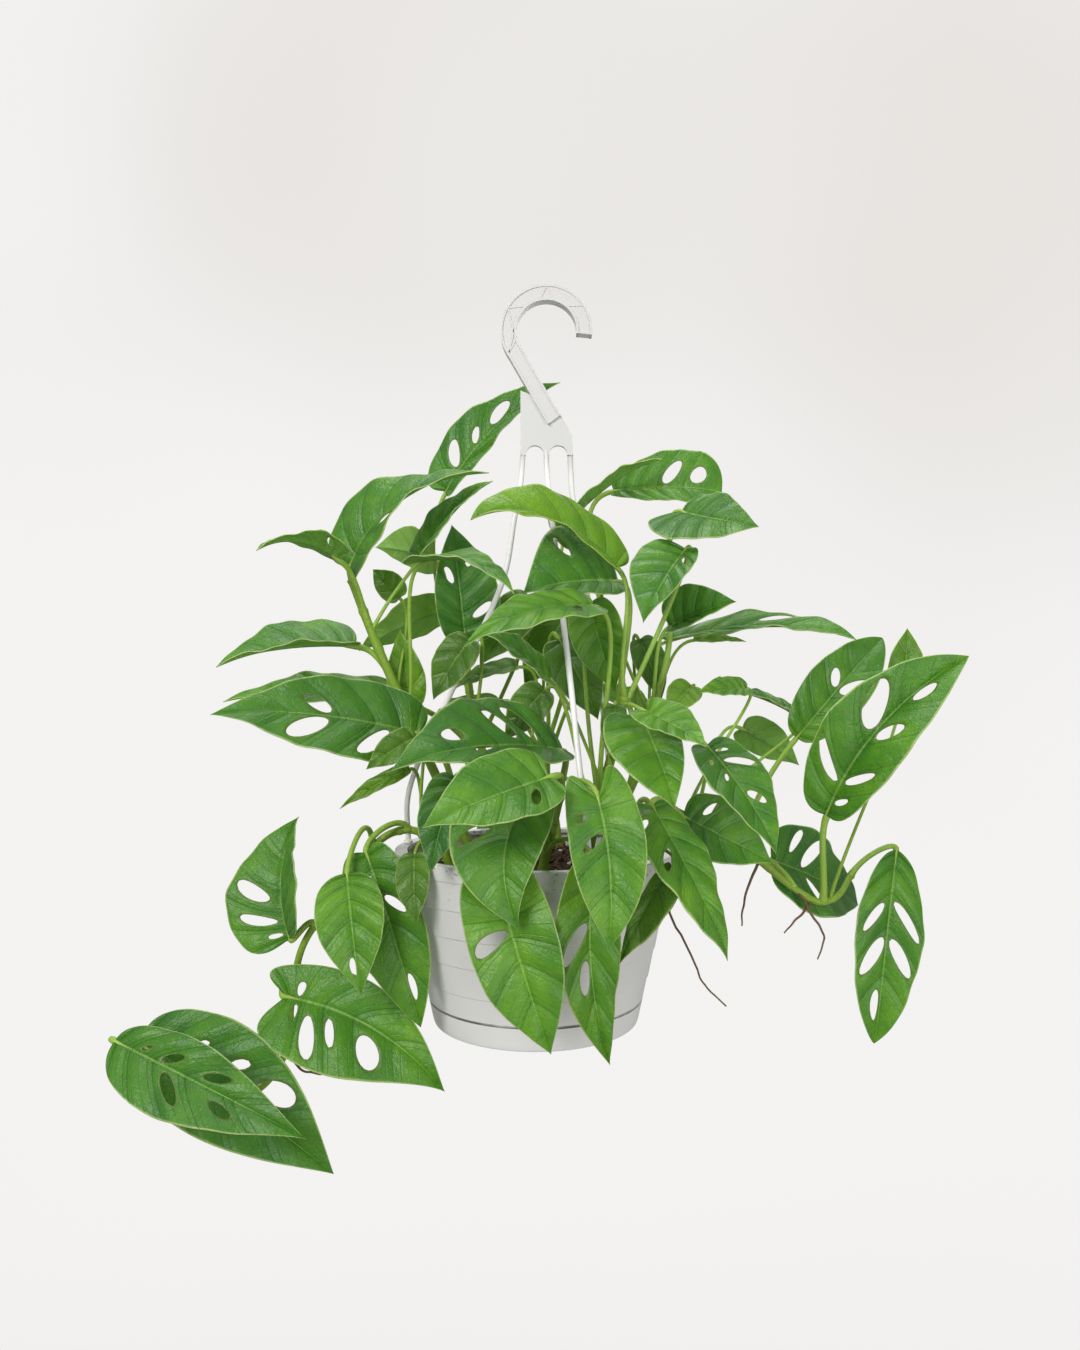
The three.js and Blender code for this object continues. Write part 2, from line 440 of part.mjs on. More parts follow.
function potSolid() {
  const floor = SAUCER.wall + SEAT;
  const innerTop = wallRadius(POT.height - POT.lipDepth) - POT.wall;
  const body = lathe([
    [0, floor], [POT.spigotBottom, floor], ...potOuterWall(),
    [POT.rimRadius, POT.height - 1], [POT.rimRadius - 1, POT.height],
    [POT.lipInner, POT.height], [POT.lipInner, POT.height - POT.lipDepth],
    [innerTop, POT.height - POT.lipDepth],
    [POT.spigotBottom - POT.wall, floor + POT.wall], [0, floor + POT.wall],
  ]);
  const cutters = STRANDS.map(({ bearing }) => {
    const hole = new THREE.CylinderGeometry(STRAND.holeRadius, STRAND.holeRadius, 12, 12);
    hole.rotateX(Math.PI / 2);
    return solidOf(hole.translate(...lipPoint(bearing, POT.height)));
  });
  for (let i = 0; i < POT.drainHoles; i += 1) {
    const angle = (i / POT.drainHoles) * 2 * Math.PI;
    const hole = new THREE.CylinderGeometry(POT.drainRadius, POT.drainRadius, 8, 8);
    hole.rotateX(Math.PI / 2);
    const place = [POT.drainCircle * Math.cos(angle), POT.drainCircle * Math.sin(angle), floor];
    cutters.push(solidOf(hole.translate(...place)));
  }
  return cutters.reduce((pot, cutter) => pot.subtract(cutter), body);
}

function soilSolid(stemCutters) {
  const floor = SAUCER.wall + SEAT + POT.wall + SEAT;
  const inset = POT.wall + SOIL.gap;
  const slope = (wallRadius(POT.height) - POT.spigotBottom) / (POT.height - floor);
  const radiusAt = (height) => POT.spigotBottom - inset + slope * (height - floor) * 0.94;
  const mound = lathe([
    [0, floor], [POT.spigotBottom - inset - 0.6, floor], [radiusAt(SOIL.edgeHeight), SOIL.edgeHeight],
    [70, SOIL.edgeHeight + 2], [44, SOIL.crownHeight - 1], [0, SOIL.crownHeight],
  ]);
  return stemCutters.reduce((soil, cutter) => soil.subtract(cutter), mound);
}

// A point on the circle of lip holes, at a bearing measured from the front towards +X.
function lipPoint(bearing, height) {
  const angle = THREE.MathUtils.degToRad(bearing);
  return [STRAND.footCircle * Math.sin(angle), -STRAND.footCircle * Math.cos(angle), height];
}

// ---------------------------------------------------------------------------------------------
// Hanger: hook, neck, plate and three strands in one moulding
// ---------------------------------------------------------------------------------------------

// Centre line of the hook as a list of [x, z, outward x, outward z].
function hookLine(samples) {
  const radius = (HOOK.outerRadius + HOOK.innerRadius) / 2;
  const line = [];
  for (let i = 0; i <= samples; i += 1) {
    const degrees = HOOK.startAngle + (i / samples) * (HOOK.endAngle - HOOK.startAngle);
    const angle = THREE.MathUtils.degToRad(degrees);
    const [c, s] = [Math.cos(angle), Math.sin(angle)];
    line.push([HOOK.centre[0] + radius * c, HOOK.centre[1] + radius * s, c, s]);
  }
  return line;
}

function bandShape(line, halfWidth) {
  const shape = new THREE.Shape();
  line.forEach(([x, z, nx, nz], i) => {
    shape[i === 0 ? "moveTo" : "lineTo"](x + nx * halfWidth, z + nz * halfWidth);
  });
  [...line].reverse().forEach(([x, z, nx, nz]) => shape.lineTo(x - nx * halfWidth, z - nz * halfWidth));
  return shape;
}

function withNeck(line) {
  const last = line[line.length - 1];
  const [endX, endZ] = HOOK.neckEnd;
  return [...line, [endX, endZ, last[2], last[3]]];
}

// Triangular pockets between the flanges; what is left between them is the zigzag of ribs.
function hookPockets() {
  const halfWidth = (HOOK.outerRadius - HOOK.innerRadius) / 2 - HOOK.flange;
  const line = withNeck(hookLine(HOOK.pockets * 2));
  const pocketDepth = (HOOK.depth - HOOK.web) / 2;
  const pockets = [];
  for (let i = 1; i + 2 < line.length; i += 1) {
    const side = i % 2 === 0 ? 1 : -1;
    const corners = [[line[i], side], [line[i + 1], -side], [line[i + 2], side]].map(
      ([[x, z, nx, nz], sign]) => new THREE.Vector2(x + nx * halfWidth * sign, z + nz * halfWidth * sign));
    const middle = corners.reduce((sum, corner) => sum.add(corner), new THREE.Vector2()).divideScalar(3);
    const shrunk = corners.map((corner) => corner.clone().lerp(middle, HOOK.ribHalf / 3));
    const shape = new THREE.Shape(shrunk);
    for (const face of [-1, 1]) {
      const offset = face * (HOOK.web / 2 + pocketDepth / 2 + 0.5);
      pockets.push(plateSolid(shape, pocketDepth + 1, offset));
    }
  }
  return pockets;
}

function plateShape() {
  const [corner, ...bottom] = PLATE.outline;
  const shape = new THREE.Shape();
  shape.moveTo(...corner);
  shape.lineTo(...bottom[0]);
  for (const [from, to] of [[bottom[1], bottom[2]], [bottom[3], bottom[4]]]) {
    shape.lineTo(...from);
    const crest = from[1] + PLATE.archHeight * 1.4;
    shape.bezierCurveTo(from[0], crest, to[0], crest, ...to);
  }
  shape.lineTo(...bottom[5]);
  PLATE.shoulder.forEach((point) => shape.lineTo(...point));
  return shape;
}

function strandSolid({ bearing, route }) {
  const foot = lipPoint(bearing, POT.height + SEAT + STRAND.collarHeight - 0.4);
  const curve = new THREE.CatmullRomCurve3([...route.map(vector), vector(foot)], false, "centripetal");
  const strand = tube(curve, STRAND.radius, STRAND.sides, 10);
  const seat = POT.height + SEAT;
  const under = POT.height - POT.lipDepth - SEAT;
  const fitting = lathe([
    [0, under - STRAND.barbLength], [0.8, under - STRAND.barbLength], [STRAND.barbRadius, under],
    [STRAND.pinRadius, under], [STRAND.pinRadius, seat], [STRAND.collarRadius, seat],
    [STRAND.collarRadius, seat + STRAND.collarHeight - 0.8], [STRAND.radius, seat + STRAND.collarHeight],
    [0, seat + STRAND.collarHeight],
  ], 8);
  const [x, y] = lipPoint(bearing, 0);
  return strand.add(fitting.translate([x, y, 0]));
}

function hangerSolid() {
  const halfWidth = (HOOK.outerRadius - HOOK.innerRadius) / 2;
  const band = plateSolid(bandShape(withNeck(hookLine(HOOK.samples)), halfWidth), HOOK.depth);
  const hook = hookPockets().reduce((solid, pocket) => solid.subtract(pocket), band);
  const plate = plateSolid(plateShape(), PLATE.depth, 0, 6);
  return union([hook, plate, ...STRANDS.map(strandSolid)]);
}

// ---------------------------------------------------------------------------------------------
// Stems and leaves
// ---------------------------------------------------------------------------------------------

// Centre line of a stem, drawn on past both ends by `extra`.
function stemCurve(stem, extra = 0) {
  const points = stem.route.map(vector);
  const last = points.length - 1;
  for (const [end, inner] of [[0, 1], [last, last - 1]]) {
    const outward = points[end].clone().sub(points[inner]).normalize();
    points[end].addScaledVector(outward, extra);
  }
  return new THREE.CatmullRomCurve3(points, false, "centripetal");
}

function stemSolid(stem, extra = 0) {
  const curve = stemCurve(stem, extra);
  const steps = Math.max(5, Math.round(curve.getLength() / STEM_STEP));
  return tube(curve, stem.radius + extra, STEM_SIDES, steps);
}

// Flat outline of half a blade: `t` runs along the margin from base to tip, `v` from the midrib
// to the margin. Lines of equal t are the side veins, which sweep forward.
function flatPoint(spec, side, t, v) {
  const rib = spec.length * t ** 1.9;
  const marginX = spec.length * (t ** 1.05 - spec.lobe * t * (1 - t) ** 6);
  const widest = BLADE.swell / (BLADE.swell + spec.taper);
  const share = (t / widest) ** BLADE.swell * ((1 - t) / (1 - widest)) ** spec.taper;
  const marginY = (spec.width / 2) * share * (1 + spec.skew * side);
  return new THREE.Vector2(rib + (marginX - rib) * v, marginY * v);
}

function midribPoint(spec, s) {
  const base = vector(spec.base);
  const tip = vector(spec.tip);
  const up = vector(spec.face).normalize();
  const left = up.clone().cross(tip.clone().sub(base)).normalize();
  const middle = base.clone().add(tip).divideScalar(2);
  middle.addScaledVector(up, 2 * spec.arch).addScaledVector(left, 2 * spec.bow);
  const [a, b, c] = [(1 - s) ** 2, 2 * s * (1 - s), s ** 2];
  return base.multiplyScalar(a).add(middle.multiplyScalar(b)).add(tip.multiplyScalar(c));
}

// Tangent, upper normal and left direction of the blade at a share s of its length.
function bladeFrame(spec, s) {
  const tangent = midribPoint(spec, s + 0.01).sub(midribPoint(spec, s - 0.01)).normalize();
  const share = THREE.MathUtils.clamp(s, 0, 1);
  const face = vector(spec.face).normalize().lerp(vector(spec.tipFace).normalize(), share);
  const left = face.cross(tangent).normalize();
  const up = tangent.clone().cross(left).normalize();
  return { tangent, up, left };
}

function bladePoint(spec, side, t, v) {
  const flat = flatPoint(spec, side, t, v);
  const share = flat.x / spec.length;
  const { up, left } = bladeFrame(spec, share);
  const fold = THREE.MathUtils.degToRad(spec.fold);
  const wave = spec.length * BLADE.wave * Math.sin(t * 15 + side) * v * v * Math.sin(Math.PI * t);
  const point = midribPoint(spec, share);
  point.addScaledVector(left, side * flat.y * Math.cos(fold));
  point.addScaledVector(up, flat.y * Math.sin(fold) + wave);
  const normal = up.clone().multiplyScalar(Math.cos(fold));
  if (v > 0) normal.addScaledVector(left, -side * Math.sin(fold));
  return { point, normal: normal.normalize() };
}

function holeRing(spec, side, cell) {
  const hole = spec.holes.find(([holeSide, count]) => holeSide === side && Math.floor(count) === cell);
  if (!hole) return [];
  const [, count, across, reach, halfCount] = hole;
  const [t0, t1] = [spec.stations[cell], spec.stations[cell + 1]];
  const ring = [];
  for (let i = 0; i < BLADE.holeCorners; i += 1) {
    const angle = (i / BLADE.holeCorners) * 2 * Math.PI;
    const t = t0 + (t1 - t0) * (count - cell + halfCount * Math.sin(angle));
    ring.push([t, across + reach * Math.cos(angle)]);
  }
  return ring;
}

// One blade: the upper face's triangles, the same ones below, and walls round every edge.
function bladeSolid(spec) {
  const keys = new Map();
  const upper = [];
  const lower = [];
  const faces = [];
  const vertex = (side, t, v) => {
    const key = t === 0 || t === 1 ? `end ${t}` : `${v === 0 ? 0 : side} ${t} ${v}`;
    if (!keys.has(key)) {
      const { point, normal } = bladePoint(spec, side, t, v);
      keys.set(key, upper.length);
      upper.push(point.clone().addScaledVector(normal, BLADE.thickness / 2));
      lower.push(point.clone().addScaledVector(normal, -BLADE.thickness / 2));
    }
    return keys.get(key);
  };
  for (const side of [1, -1]) {
    for (let cell = 0; cell + 1 < spec.stations.length; cell += 1) {
      const [t0, t1] = [spec.stations[cell], spec.stations[cell + 1]];
      const border = cell === 0 ? [[0, 0], [t1, 0], [t1, 1], [BLADE.basalPoint, 1]]
        : t1 === 1 ? [[t0, 0], [1, 0], [t0, 1]] : [[t0, 0], [t1, 0], [t1, 1], [t0, 1]];
      const ring = holeRing(spec, side, cell);
      const corners = [...border, ...ring];
      const flat = corners.map(([t, v]) => flatPoint(spec, side, t, v));
      const holes = ring.length > 0 ? [flat.slice(border.length)] : [];
      const triangles = THREE.ShapeUtils.triangulateShape(flat.slice(0, border.length), holes);
      for (const [a, b, c] of triangles) {
        const turn = (flat[b].x - flat[a].x) * (flat[c].y - flat[a].y)
          - (flat[b].y - flat[a].y) * (flat[c].x - flat[a].x);
        const order = turn * side > 0 ? [a, b, c] : [a, c, b];
        faces.push(order.map((i) => vertex(side, ...corners[i])));
      }
    }
  }
  return closedSheet(upper, lower, faces);
}

function closedSheet(upper, lower, faces) {
  const count = upper.length;
  const edges = new Set(faces.flatMap(([a, b, c]) => [`${a} ${b}`, `${b} ${c}`, `${c} ${a}`]));
  const index = [];
  for (const [a, b, c] of faces) index.push(a, b, c, a + count, c + count, b + count);
  for (const edge of edges) {
    const [a, b] = edge.split(" ").map(Number);
    if (edges.has(`${b} ${a}`)) continue;
    index.push(b, a, a + count, b, a + count, b + count);
  }
  const geometry = new THREE.BufferGeometry().setFromPoints([...upper, ...lower]);
  geometry.setIndex(index);
  return solidOf(geometry);
}

// The petiole rises from its stem, bends over and runs on under the base of the midrib.
function petioleSolid(spec, stem) {
  const start = stemCurve(stem).getPoint(spec.at);
  const base = vector(spec.base);
  const reach = start.distanceTo(base);
  const outward = base.clone().sub(start).setZ(0).normalize();
  const { tangent, up } = bladeFrame(spec, 0);
  const leave = start.clone().addScaledVector(outward, reach * 0.2);
  leave.z += reach * spec.lift;
  const arrive = base.clone().addScaledVector(tangent, -reach * 0.25);
  const bend = new THREE.CubicBezierCurve3(start, leave, arrive, base.clone().addScaledVector(up, -0.6));
  const turn = leave.clone().sub(start).angleTo(tangent);
  const turnSteps = turn > PETIOLE.sharpTurn ? 2 : 0;
  const steps = turnSteps + Math.max(3, Math.round(bend.getLength() / PETIOLE.stepLength));
  const points = bend.getSpacedPoints(steps);
  points.push(midribPoint(spec, PETIOLE.sink).addScaledVector(up, -0.4));
  const curve = new THREE.CatmullRomCurve3(points, false, "centripetal");
  return tube(curve, PETIOLE.radius, PETIOLE.sides, steps + 1);
}

function leafSolid(spec, stem) {
  const whole = bladeSolid(spec).add(petioleSolid(spec, stem));
  return largestBody(whole.subtract(stemSolid(stem, SEAT))).simplify(FUSE_TOLERANCE);
}

function grownStem(stem) {
  const sprouts = SPROUTS.filter((spec) => spec.stem === stem.name);
  const roots = ROOTS.filter(([name]) => name === stem.name);
  const parts = [stemSolid(stem)];
  for (const spec of sprouts) parts.push(bladeSolid(spec), petioleSolid(spec, stem));
  for (const [, route] of roots) {
    const curve = new THREE.CatmullRomCurve3(route.map(vector), false, "centripetal");
    parts.push(tube(curve, ROOT_RADIUS, 4, (route.length - 1) * 2));
  }
  return largestBody(union(parts)).simplify(FUSE_TOLERANCE);
}

// ---------------------------------------------------------------------------------------------
// Scene
// ---------------------------------------------------------------------------------------------

const MATERIALS = {
  pot: new THREE.MeshStandardMaterial({ color: 0xe4e4e2, roughness: 0.42, metalness: 0 }),
  hanger: new THREE.MeshStandardMaterial({ color: 0xededec, roughness: 0.35, metalness: 0 }),
  soil: new THREE.MeshStandardMaterial({ color: 0x3a2a20, roughness: 0.95, metalness: 0 }),
  stem: new THREE.MeshStandardMaterial({ color: 0x7fa83f, roughness: 0.5, metalness: 0 }),
  leaf: new THREE.MeshStandardMaterial({ color: 0x3f8a38, roughness: 0.45, metalness: 0 }),
};

function addMesh(group, name, solid, material) {
  const mesh = new THREE.Mesh(geometryOf(solid), material);
  mesh.name = name;
  group.add(mesh);
}

const plant = new THREE.Group();
const stemNamed = new Map(STEMS.map((stem) => [stem.name, stem]));

addMesh(plant, "saucer", saucerSolid(), MATERIALS.pot);
addMesh(plant, "pot", potSolid(), MATERIALS.pot);
addMesh(plant, "soil", soilSolid(STEMS.map((stem) => stemSolid(stem, 0.4))), MATERIALS.soil);
addMesh(plant, "hanger", hangerSolid(), MATERIALS.hanger);
for (const stem of STEMS) addMesh(plant, stem.name, grownStem(stem), MATERIALS.stem);
for (const spec of LEAVES) {
  const solid = leafSolid(spec, stemNamed.get(spec.stem));
  addMesh(plant, spec.name, solid, MATERIALS.leaf);
}

// The hook's inner crown becomes the origin.
plant.position.set(-HOOK.centre[0], 0, -(HOOK.centre[1] + HOOK.innerRadius));

export default plant;
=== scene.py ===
"""Monstera adansonii in a white plastic hanging pot: the fine surfaces and finishes over its solids.

Lengths are written in millimetres in the pot's own frame (pot axis at x = y = 0, saucer standing on
z = 0). A mesh is moved to the part's frame, in metres from the inside of the hook's crown, as it is
made. Surfaces are worked out as whole numpy arrays and closed at their seams and poles.
"""

import enum
import logging
import math
from dataclasses import dataclass, replace

import bpy
import numpy as np
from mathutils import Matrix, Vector
from mathutils.geometry import tessellate_polygon

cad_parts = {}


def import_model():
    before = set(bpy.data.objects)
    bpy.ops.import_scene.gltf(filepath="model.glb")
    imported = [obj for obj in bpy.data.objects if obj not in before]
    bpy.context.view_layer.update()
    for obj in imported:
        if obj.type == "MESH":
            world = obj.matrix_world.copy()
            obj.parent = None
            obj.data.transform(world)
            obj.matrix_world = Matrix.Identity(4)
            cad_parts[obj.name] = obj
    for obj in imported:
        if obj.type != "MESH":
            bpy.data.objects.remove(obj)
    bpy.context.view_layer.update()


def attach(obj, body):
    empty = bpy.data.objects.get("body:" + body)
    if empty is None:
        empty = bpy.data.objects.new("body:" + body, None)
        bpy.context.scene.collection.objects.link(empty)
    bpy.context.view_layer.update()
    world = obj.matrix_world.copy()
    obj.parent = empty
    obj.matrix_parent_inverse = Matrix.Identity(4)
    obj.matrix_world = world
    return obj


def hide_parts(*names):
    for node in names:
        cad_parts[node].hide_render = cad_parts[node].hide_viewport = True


LOG = logging.getLogger("monstera")

Array = np.ndarray
Material = bpy.types.Material
Node = bpy.types.Node
NodeTree = bpy.types.NodeTree
Object = bpy.types.Object
Socket = bpy.types.NodeSocket
Point = tuple[float, float, float]
Route = tuple[Point, ...]
Colour = tuple[float, float, float]

HOOK_CROWN = np.array([6.1, 0.0, 422.6])  # the part's origin, in the pot's frame
MILLIMETRE = 0.001
SEED = 27


# ---------- Surfaces ----------


@dataclass
class Surface:
    """One closed surface: points in millimetres, triangles, quads and named values at the points."""

    points: Array
    triangles: Array
    quads: Array
    marks: dict[str, Array]

    def flipped(self) -> "Surface":
        """Return the same surface with its faces turned the other way."""
        return replace(self, triangles=self.triangles[:, ::-1], quads=self.quads[:, ::-1])

    def moved(self, by: Point) -> "Surface":
        """Return the surface moved by a vector."""
        return replace(self, points=self.points + np.array(by))

    def marked(self, **values: float | Array) -> "Surface":
        """Return the surface with further values written at every point."""
        added = {name: np.full(len(self.points), value, float) for name, value in values.items()}
        return replace(self, marks={**self.marks, **added})


def joined(surfaces: list[Surface]) -> Surface:
    """Put several surfaces into one, side by side.

    Args:
        surfaces: The surfaces; a value that one of them lacks is zero there.

    Returns:
        A surface that holds all their points and faces.
    """
    starts = np.cumsum([0] + [len(surface.points) for surface in surfaces])
    names = sorted({name for surface in surfaces for name in surface.marks})
    marks = {
        name: np.concatenate([s.marks.get(name, np.zeros(len(s.points))) for s in surfaces])
        for name in names
    }
    triangles = np.concatenate([s.triangles + start for s, start in zip(surfaces, starts)])
    quads = np.concatenate([s.quads + start for s, start in zip(surfaces, starts)])
    return Surface(np.concatenate([s.points for s in surfaces]), triangles, quads, marks)


def unit(vectors: Array) -> Array:
    """Scale each vector of the last axis to length one."""
    return vectors / np.linalg.norm(vectors, axis=-1, keepdims=True)


def smooth_step(low: float, high: float, value: Array) -> Array:
    """Rise from 0 at `low` to 1 at `high` along 3u^2 - 2u^3, where u is the clamped share between them."""
    share = np.clip((value - low) / (high - low), 0, 1)
    return share * share * (3 - 2 * share)


def grid_faces(ids: Array, wrap: bool) -> tuple[Array, Array]:
    """Faces between neighbouring rows and columns of a grid of point numbers.

    Args:
        ids: Point number at each row and column; a row of one number is a pole.
        wrap: Whether the last column joins the first.

    Returns:
        Triangles at the poles, and quads elsewhere. They face out where the columns turn
        anticlockwise seen against the direction of the rows.
    """
    here, after = (ids, np.roll(ids, -1, axis=1)) if wrap else (ids[:, :-1], ids[:, 1:])
    quads = np.stack([here[:-1], after[:-1], after[1:], here[1:]], axis=-1).reshape(-1, 4)
    opening = quads[:, 0] == quads[:, 1]
    closing = quads[:, 2] == quads[:, 3]
    triangles = np.concatenate([quads[opening][:, [0, 2, 3]], quads[closing][:, [0, 1, 2]]])
    return triangles, quads[~(opening | closing)]


def swept(rings: Array) -> Surface:
    """Close a row of rings, each an array of points, with a pole at the middle of either end.

    Args:
        rings: Points as (ring, place round the ring, 3).

    Returns:
        The closed surface.
    """
    count, around = rings.shape[:2]
    ids = np.arange(count * around).reshape(count, around)
    first, last = count * around, count * around + 1
    ids = np.vstack([np.full((1, around), first), ids, np.full((1, around), last)])
    points = np.concatenate([rings.reshape(-1, 3), [rings[0].mean(axis=0), rings[-1].mean(axis=0)]])
    triangles, quads = grid_faces(ids, wrap=True)
    return Surface(points, triangles, quads, {})


def lathe(profile: Array, segments: int) -> Surface:
    """Turn a profile about the z axis: (r, z) becomes (r cos a, r sin a, z) at each angle a.

    Args:
        profile: Radii and heights as (n, 2). A profile that starts and ends on the axis is closed
            there; any other closes on itself.
        segments: Number of places round the axis.

    Returns:
        The closed surface.
    """
    on_axis = profile[0, 0] == 0
    rows = profile[1:-1] if on_axis else np.vstack([profile, profile[:1]])
    angles = np.linspace(0, 2 * np.pi, segments, endpoint=False)
    radii, heights = rows[:, :1], np.broadcast_to(rows[:, 1:], (len(rows), segments))
    rings = np.stack([radii * np.cos(angles), radii * np.sin(angles), heights], axis=-1)
    if on_axis:
        surface = swept(rings)
        surface.points[-2:] = [[0, 0, profile[0, 1]], [0, 0, profile[-1, 1]]]
        return surface
    ids = np.arange((len(rows) - 1) * segments).reshape(-1, segments)
    triangles, quads = grid_faces(np.vstack([ids, ids[:1]]), wrap=True)
    return Surface(rings[:-1].reshape(-1, 3), triangles, quads, {})


def rounded(corners: list[tuple[float, float, float]], arc_steps: int = 5) -> Array:
    """Round the corners of an open outline with quadratic arcs.

    Args:
        corners: (first coordinate, second coordinate, distance cut off either side of the corner).
        arc_steps: Pieces in each arc.

    Returns:
        The outline's points as (n, 2).
    """
    outline = []
    for place, (x, y, cut) in enumerate(corners):
        corner = np.array([x, y])
        if cut == 0 or place in (0, len(corners) - 1):
            outline.append(corner[None])
            continue
        before = corner + cut * unit(np.array(corners[place - 1][:2]) - corner)
        after = corner + cut * unit(np.array(corners[place + 1][:2]) - corner)
        share = np.linspace(0, 1, arc_steps + 1)[:, None]
        outline.append((1 - share) ** 2 * before + 2 * share * (1 - share) * corner + share**2 * after)
    return np.concatenate(outline)


def tube(path: Array, radii: Array, sides: int) -> Surface:
    """Carry a circle along a path; each circle stands across the path and both ends are closed.

    Args:
        path: Points along the middle as (n, 3).
        radii: Radius at each point.
        sides: Places round each circle.

    Returns:
        The closed tube, with the share of its length marked as "along".
    """
    tangents = unit(np.gradient(path, axis=0))
    least_spread = np.linalg.svd(path - path.mean(axis=0), full_matrices=False)[2][-1]
    across = unit(np.cross(tangents, least_spread))
    upright = np.cross(tangents, across)
    angles = np.linspace(0, 2 * np.pi, sides, endpoint=False)[:, None]
    circles = across[:, None] * np.cos(angles) + upright[:, None] * np.sin(angles)
    surface = swept(path[:, None] + circles * np.asarray(radii)[:, None, None])
    surface.points[-2:] += np.array([-tangents[0] * radii[0], tangents[-1] * radii[-1]]) * 0.5
    steps = np.linalg.norm(np.diff(path, axis=0), axis=1)
    along = np.concatenate([[0], np.cumsum(steps)]) / steps.sum()
    return surface.marked(along=np.concatenate([np.repeat(along, sides), [0, 1]]))


def strip(line: Array, outward: Array, across: tuple[float, float], depth: float) -> Surface:
    """Carry an oblong along a line in the x, z plane.

    Args:
        line: Points as (n, 2).
        outward: Unit direction across the line at each point, as (n, 2).
        across: Nearer and further edge of the oblong along that direction.
        depth: Its length from front to back.

    Returns:
        The closed bar, about y = 0.
    """
    near = line + outward * across[0]
    far = line + outward * across[1]
    corners = []
    for edge, y in ((near, -depth / 2), (near, depth / 2), (far, depth / 2), (far, -depth / 2)):
        corners.append(np.stack([edge[:, 0], np.full(len(edge), y), edge[:, 1]], axis=-1))
    surface = swept(np.stack(corners, axis=1))
    return surface if volume(surface) > 0 else surface.flipped()


def volume(surface: Surface) -> float:
    """Volume inside a closed surface.

    Args:
        surface: The surface, facing out.

    Returns:
        The sum of a x b . c over its triangles, divided by six.
    """
    corners = np.concatenate([surface.triangles, surface.quads[:, :3], surface.quads[:, [0, 2, 3]]])
    a, b, c = (surface.points[corners[:, i]] for i in range(3))
    return float(np.einsum("ij,ij->i", np.cross(a, b), c).sum() / 6)


def prism(outline: Array, depth: float) -> Surface:
    """Make a flat outline in the x, z plane solid, `depth` thick about y = 0.

    Args:
        outline: Points of the outline as (n, 2).
        depth: Thickness from front to back.

    Returns:
        The closed plate.
    """
    count = len(outline)
    front, back = (np.insert(outline, 1, y, axis=1) for y in (-depth / 2, depth / 2))
    cap = np.array(tessellate_polygon([[tuple(point) for point in front]]))
    here = np.arange(count)
    after = np.roll(here, -1)
    walls = np.stack([here, after, after + count, here + count], axis=-1)
    a, b, c = (front[cap[:, i]] for i in range(3))
    if np.cross(b - a, c - a)[:, 1].sum() > 0:
        cap = cap[:, ::-1]
    turn = np.sum(outline[:, 0] * np.roll(outline[:, 1], -1) - np.roll(outline[:, 0], -1) * outline[:, 1])
    walls = walls[:, ::-1] if turn > 0 else walls
    caps = np.concatenate([cap, cap[:, ::-1] + count])
    return Surface(np.concatenate([front, back]), caps, walls, {})


def spline(route: Route, count: int) -> Array:
    """Centripetal Catmull-Rom curve through a route, with its end spans mirrored past both ends.

    Each span is a cubic through its two points, with tangents from the neighbours weighted by the
    square root of the distances between them.

    Args:
        route: The points that the curve passes through.
        count: Number of places along it, evenly shared among the spans.

    Returns:
        Points as (count, 3).
    """
    return spline_at(route, np.linspace(0, 1, count))


def spline_at(route: Route, shares: Array) -> Array:
    """The curve of `spline` at given shares of its spans.

    Args:
        route: The points that the curve passes through.
        shares: Places along it, from 0 to 1.

    Returns:
        Points as (n, 3).
    """
    knots = np.array(route, dtype=float)
    knots = np.vstack([2 * knots[0] - knots[1], knots, 2 * knots[-1] - knots[-2]])
    spans = len(route) - 1
    place = np.clip(shares, 0, 1) * spans
    span = np.minimum(place.astype(int), spans - 1)
    share = (place - span)[:, None]
    before, start, end, after = (knots[span + i] for i in range(4))
    gap_before, gap, gap_after = (
        np.sqrt(np.linalg.norm(q - p, axis=1))[:, None]
        for p, q in ((before, start), (start, end), (end, after))
    )
    leave = (start - before) / gap_before - (end - before) / (gap_before + gap) + (end - start) / gap
    arrive = (end - start) / gap - (after - start) / (gap + gap_after) + (after - end) / gap_after
    leave, arrive = leave * gap, arrive * gap
    cubic = 2 * start - 2 * end + leave + arrive
    square = 3 * end - 3 * start - 2 * leave - arrive
    return start + leave * share + square * share**2 + cubic * share**3


def drift(points: Array, size: float, seed: int) -> Array:
    """Gentle unevenness: the mean of six sine waves in seeded directions, each about `size` long.

    Args:
        points: Places as (..., 3).
        size: Usual distance between crests, in millimetres.
        seed: Number that fixes the directions and phases.

    Returns:
        One value from about -1 to 1 at each place.
    """
    draw = np.random.default_rng(seed)
    directions = unit(draw.normal(size=(6, 3))) * draw.uniform(0.7, 1.6, (6, 1)) * 2 * np.pi / size
    phases = draw.uniform(0, 2 * np.pi, 6)
    return np.sin(points @ directions.T + phases).mean(axis=-1) * 1.6


# ---------- Pieces ----------


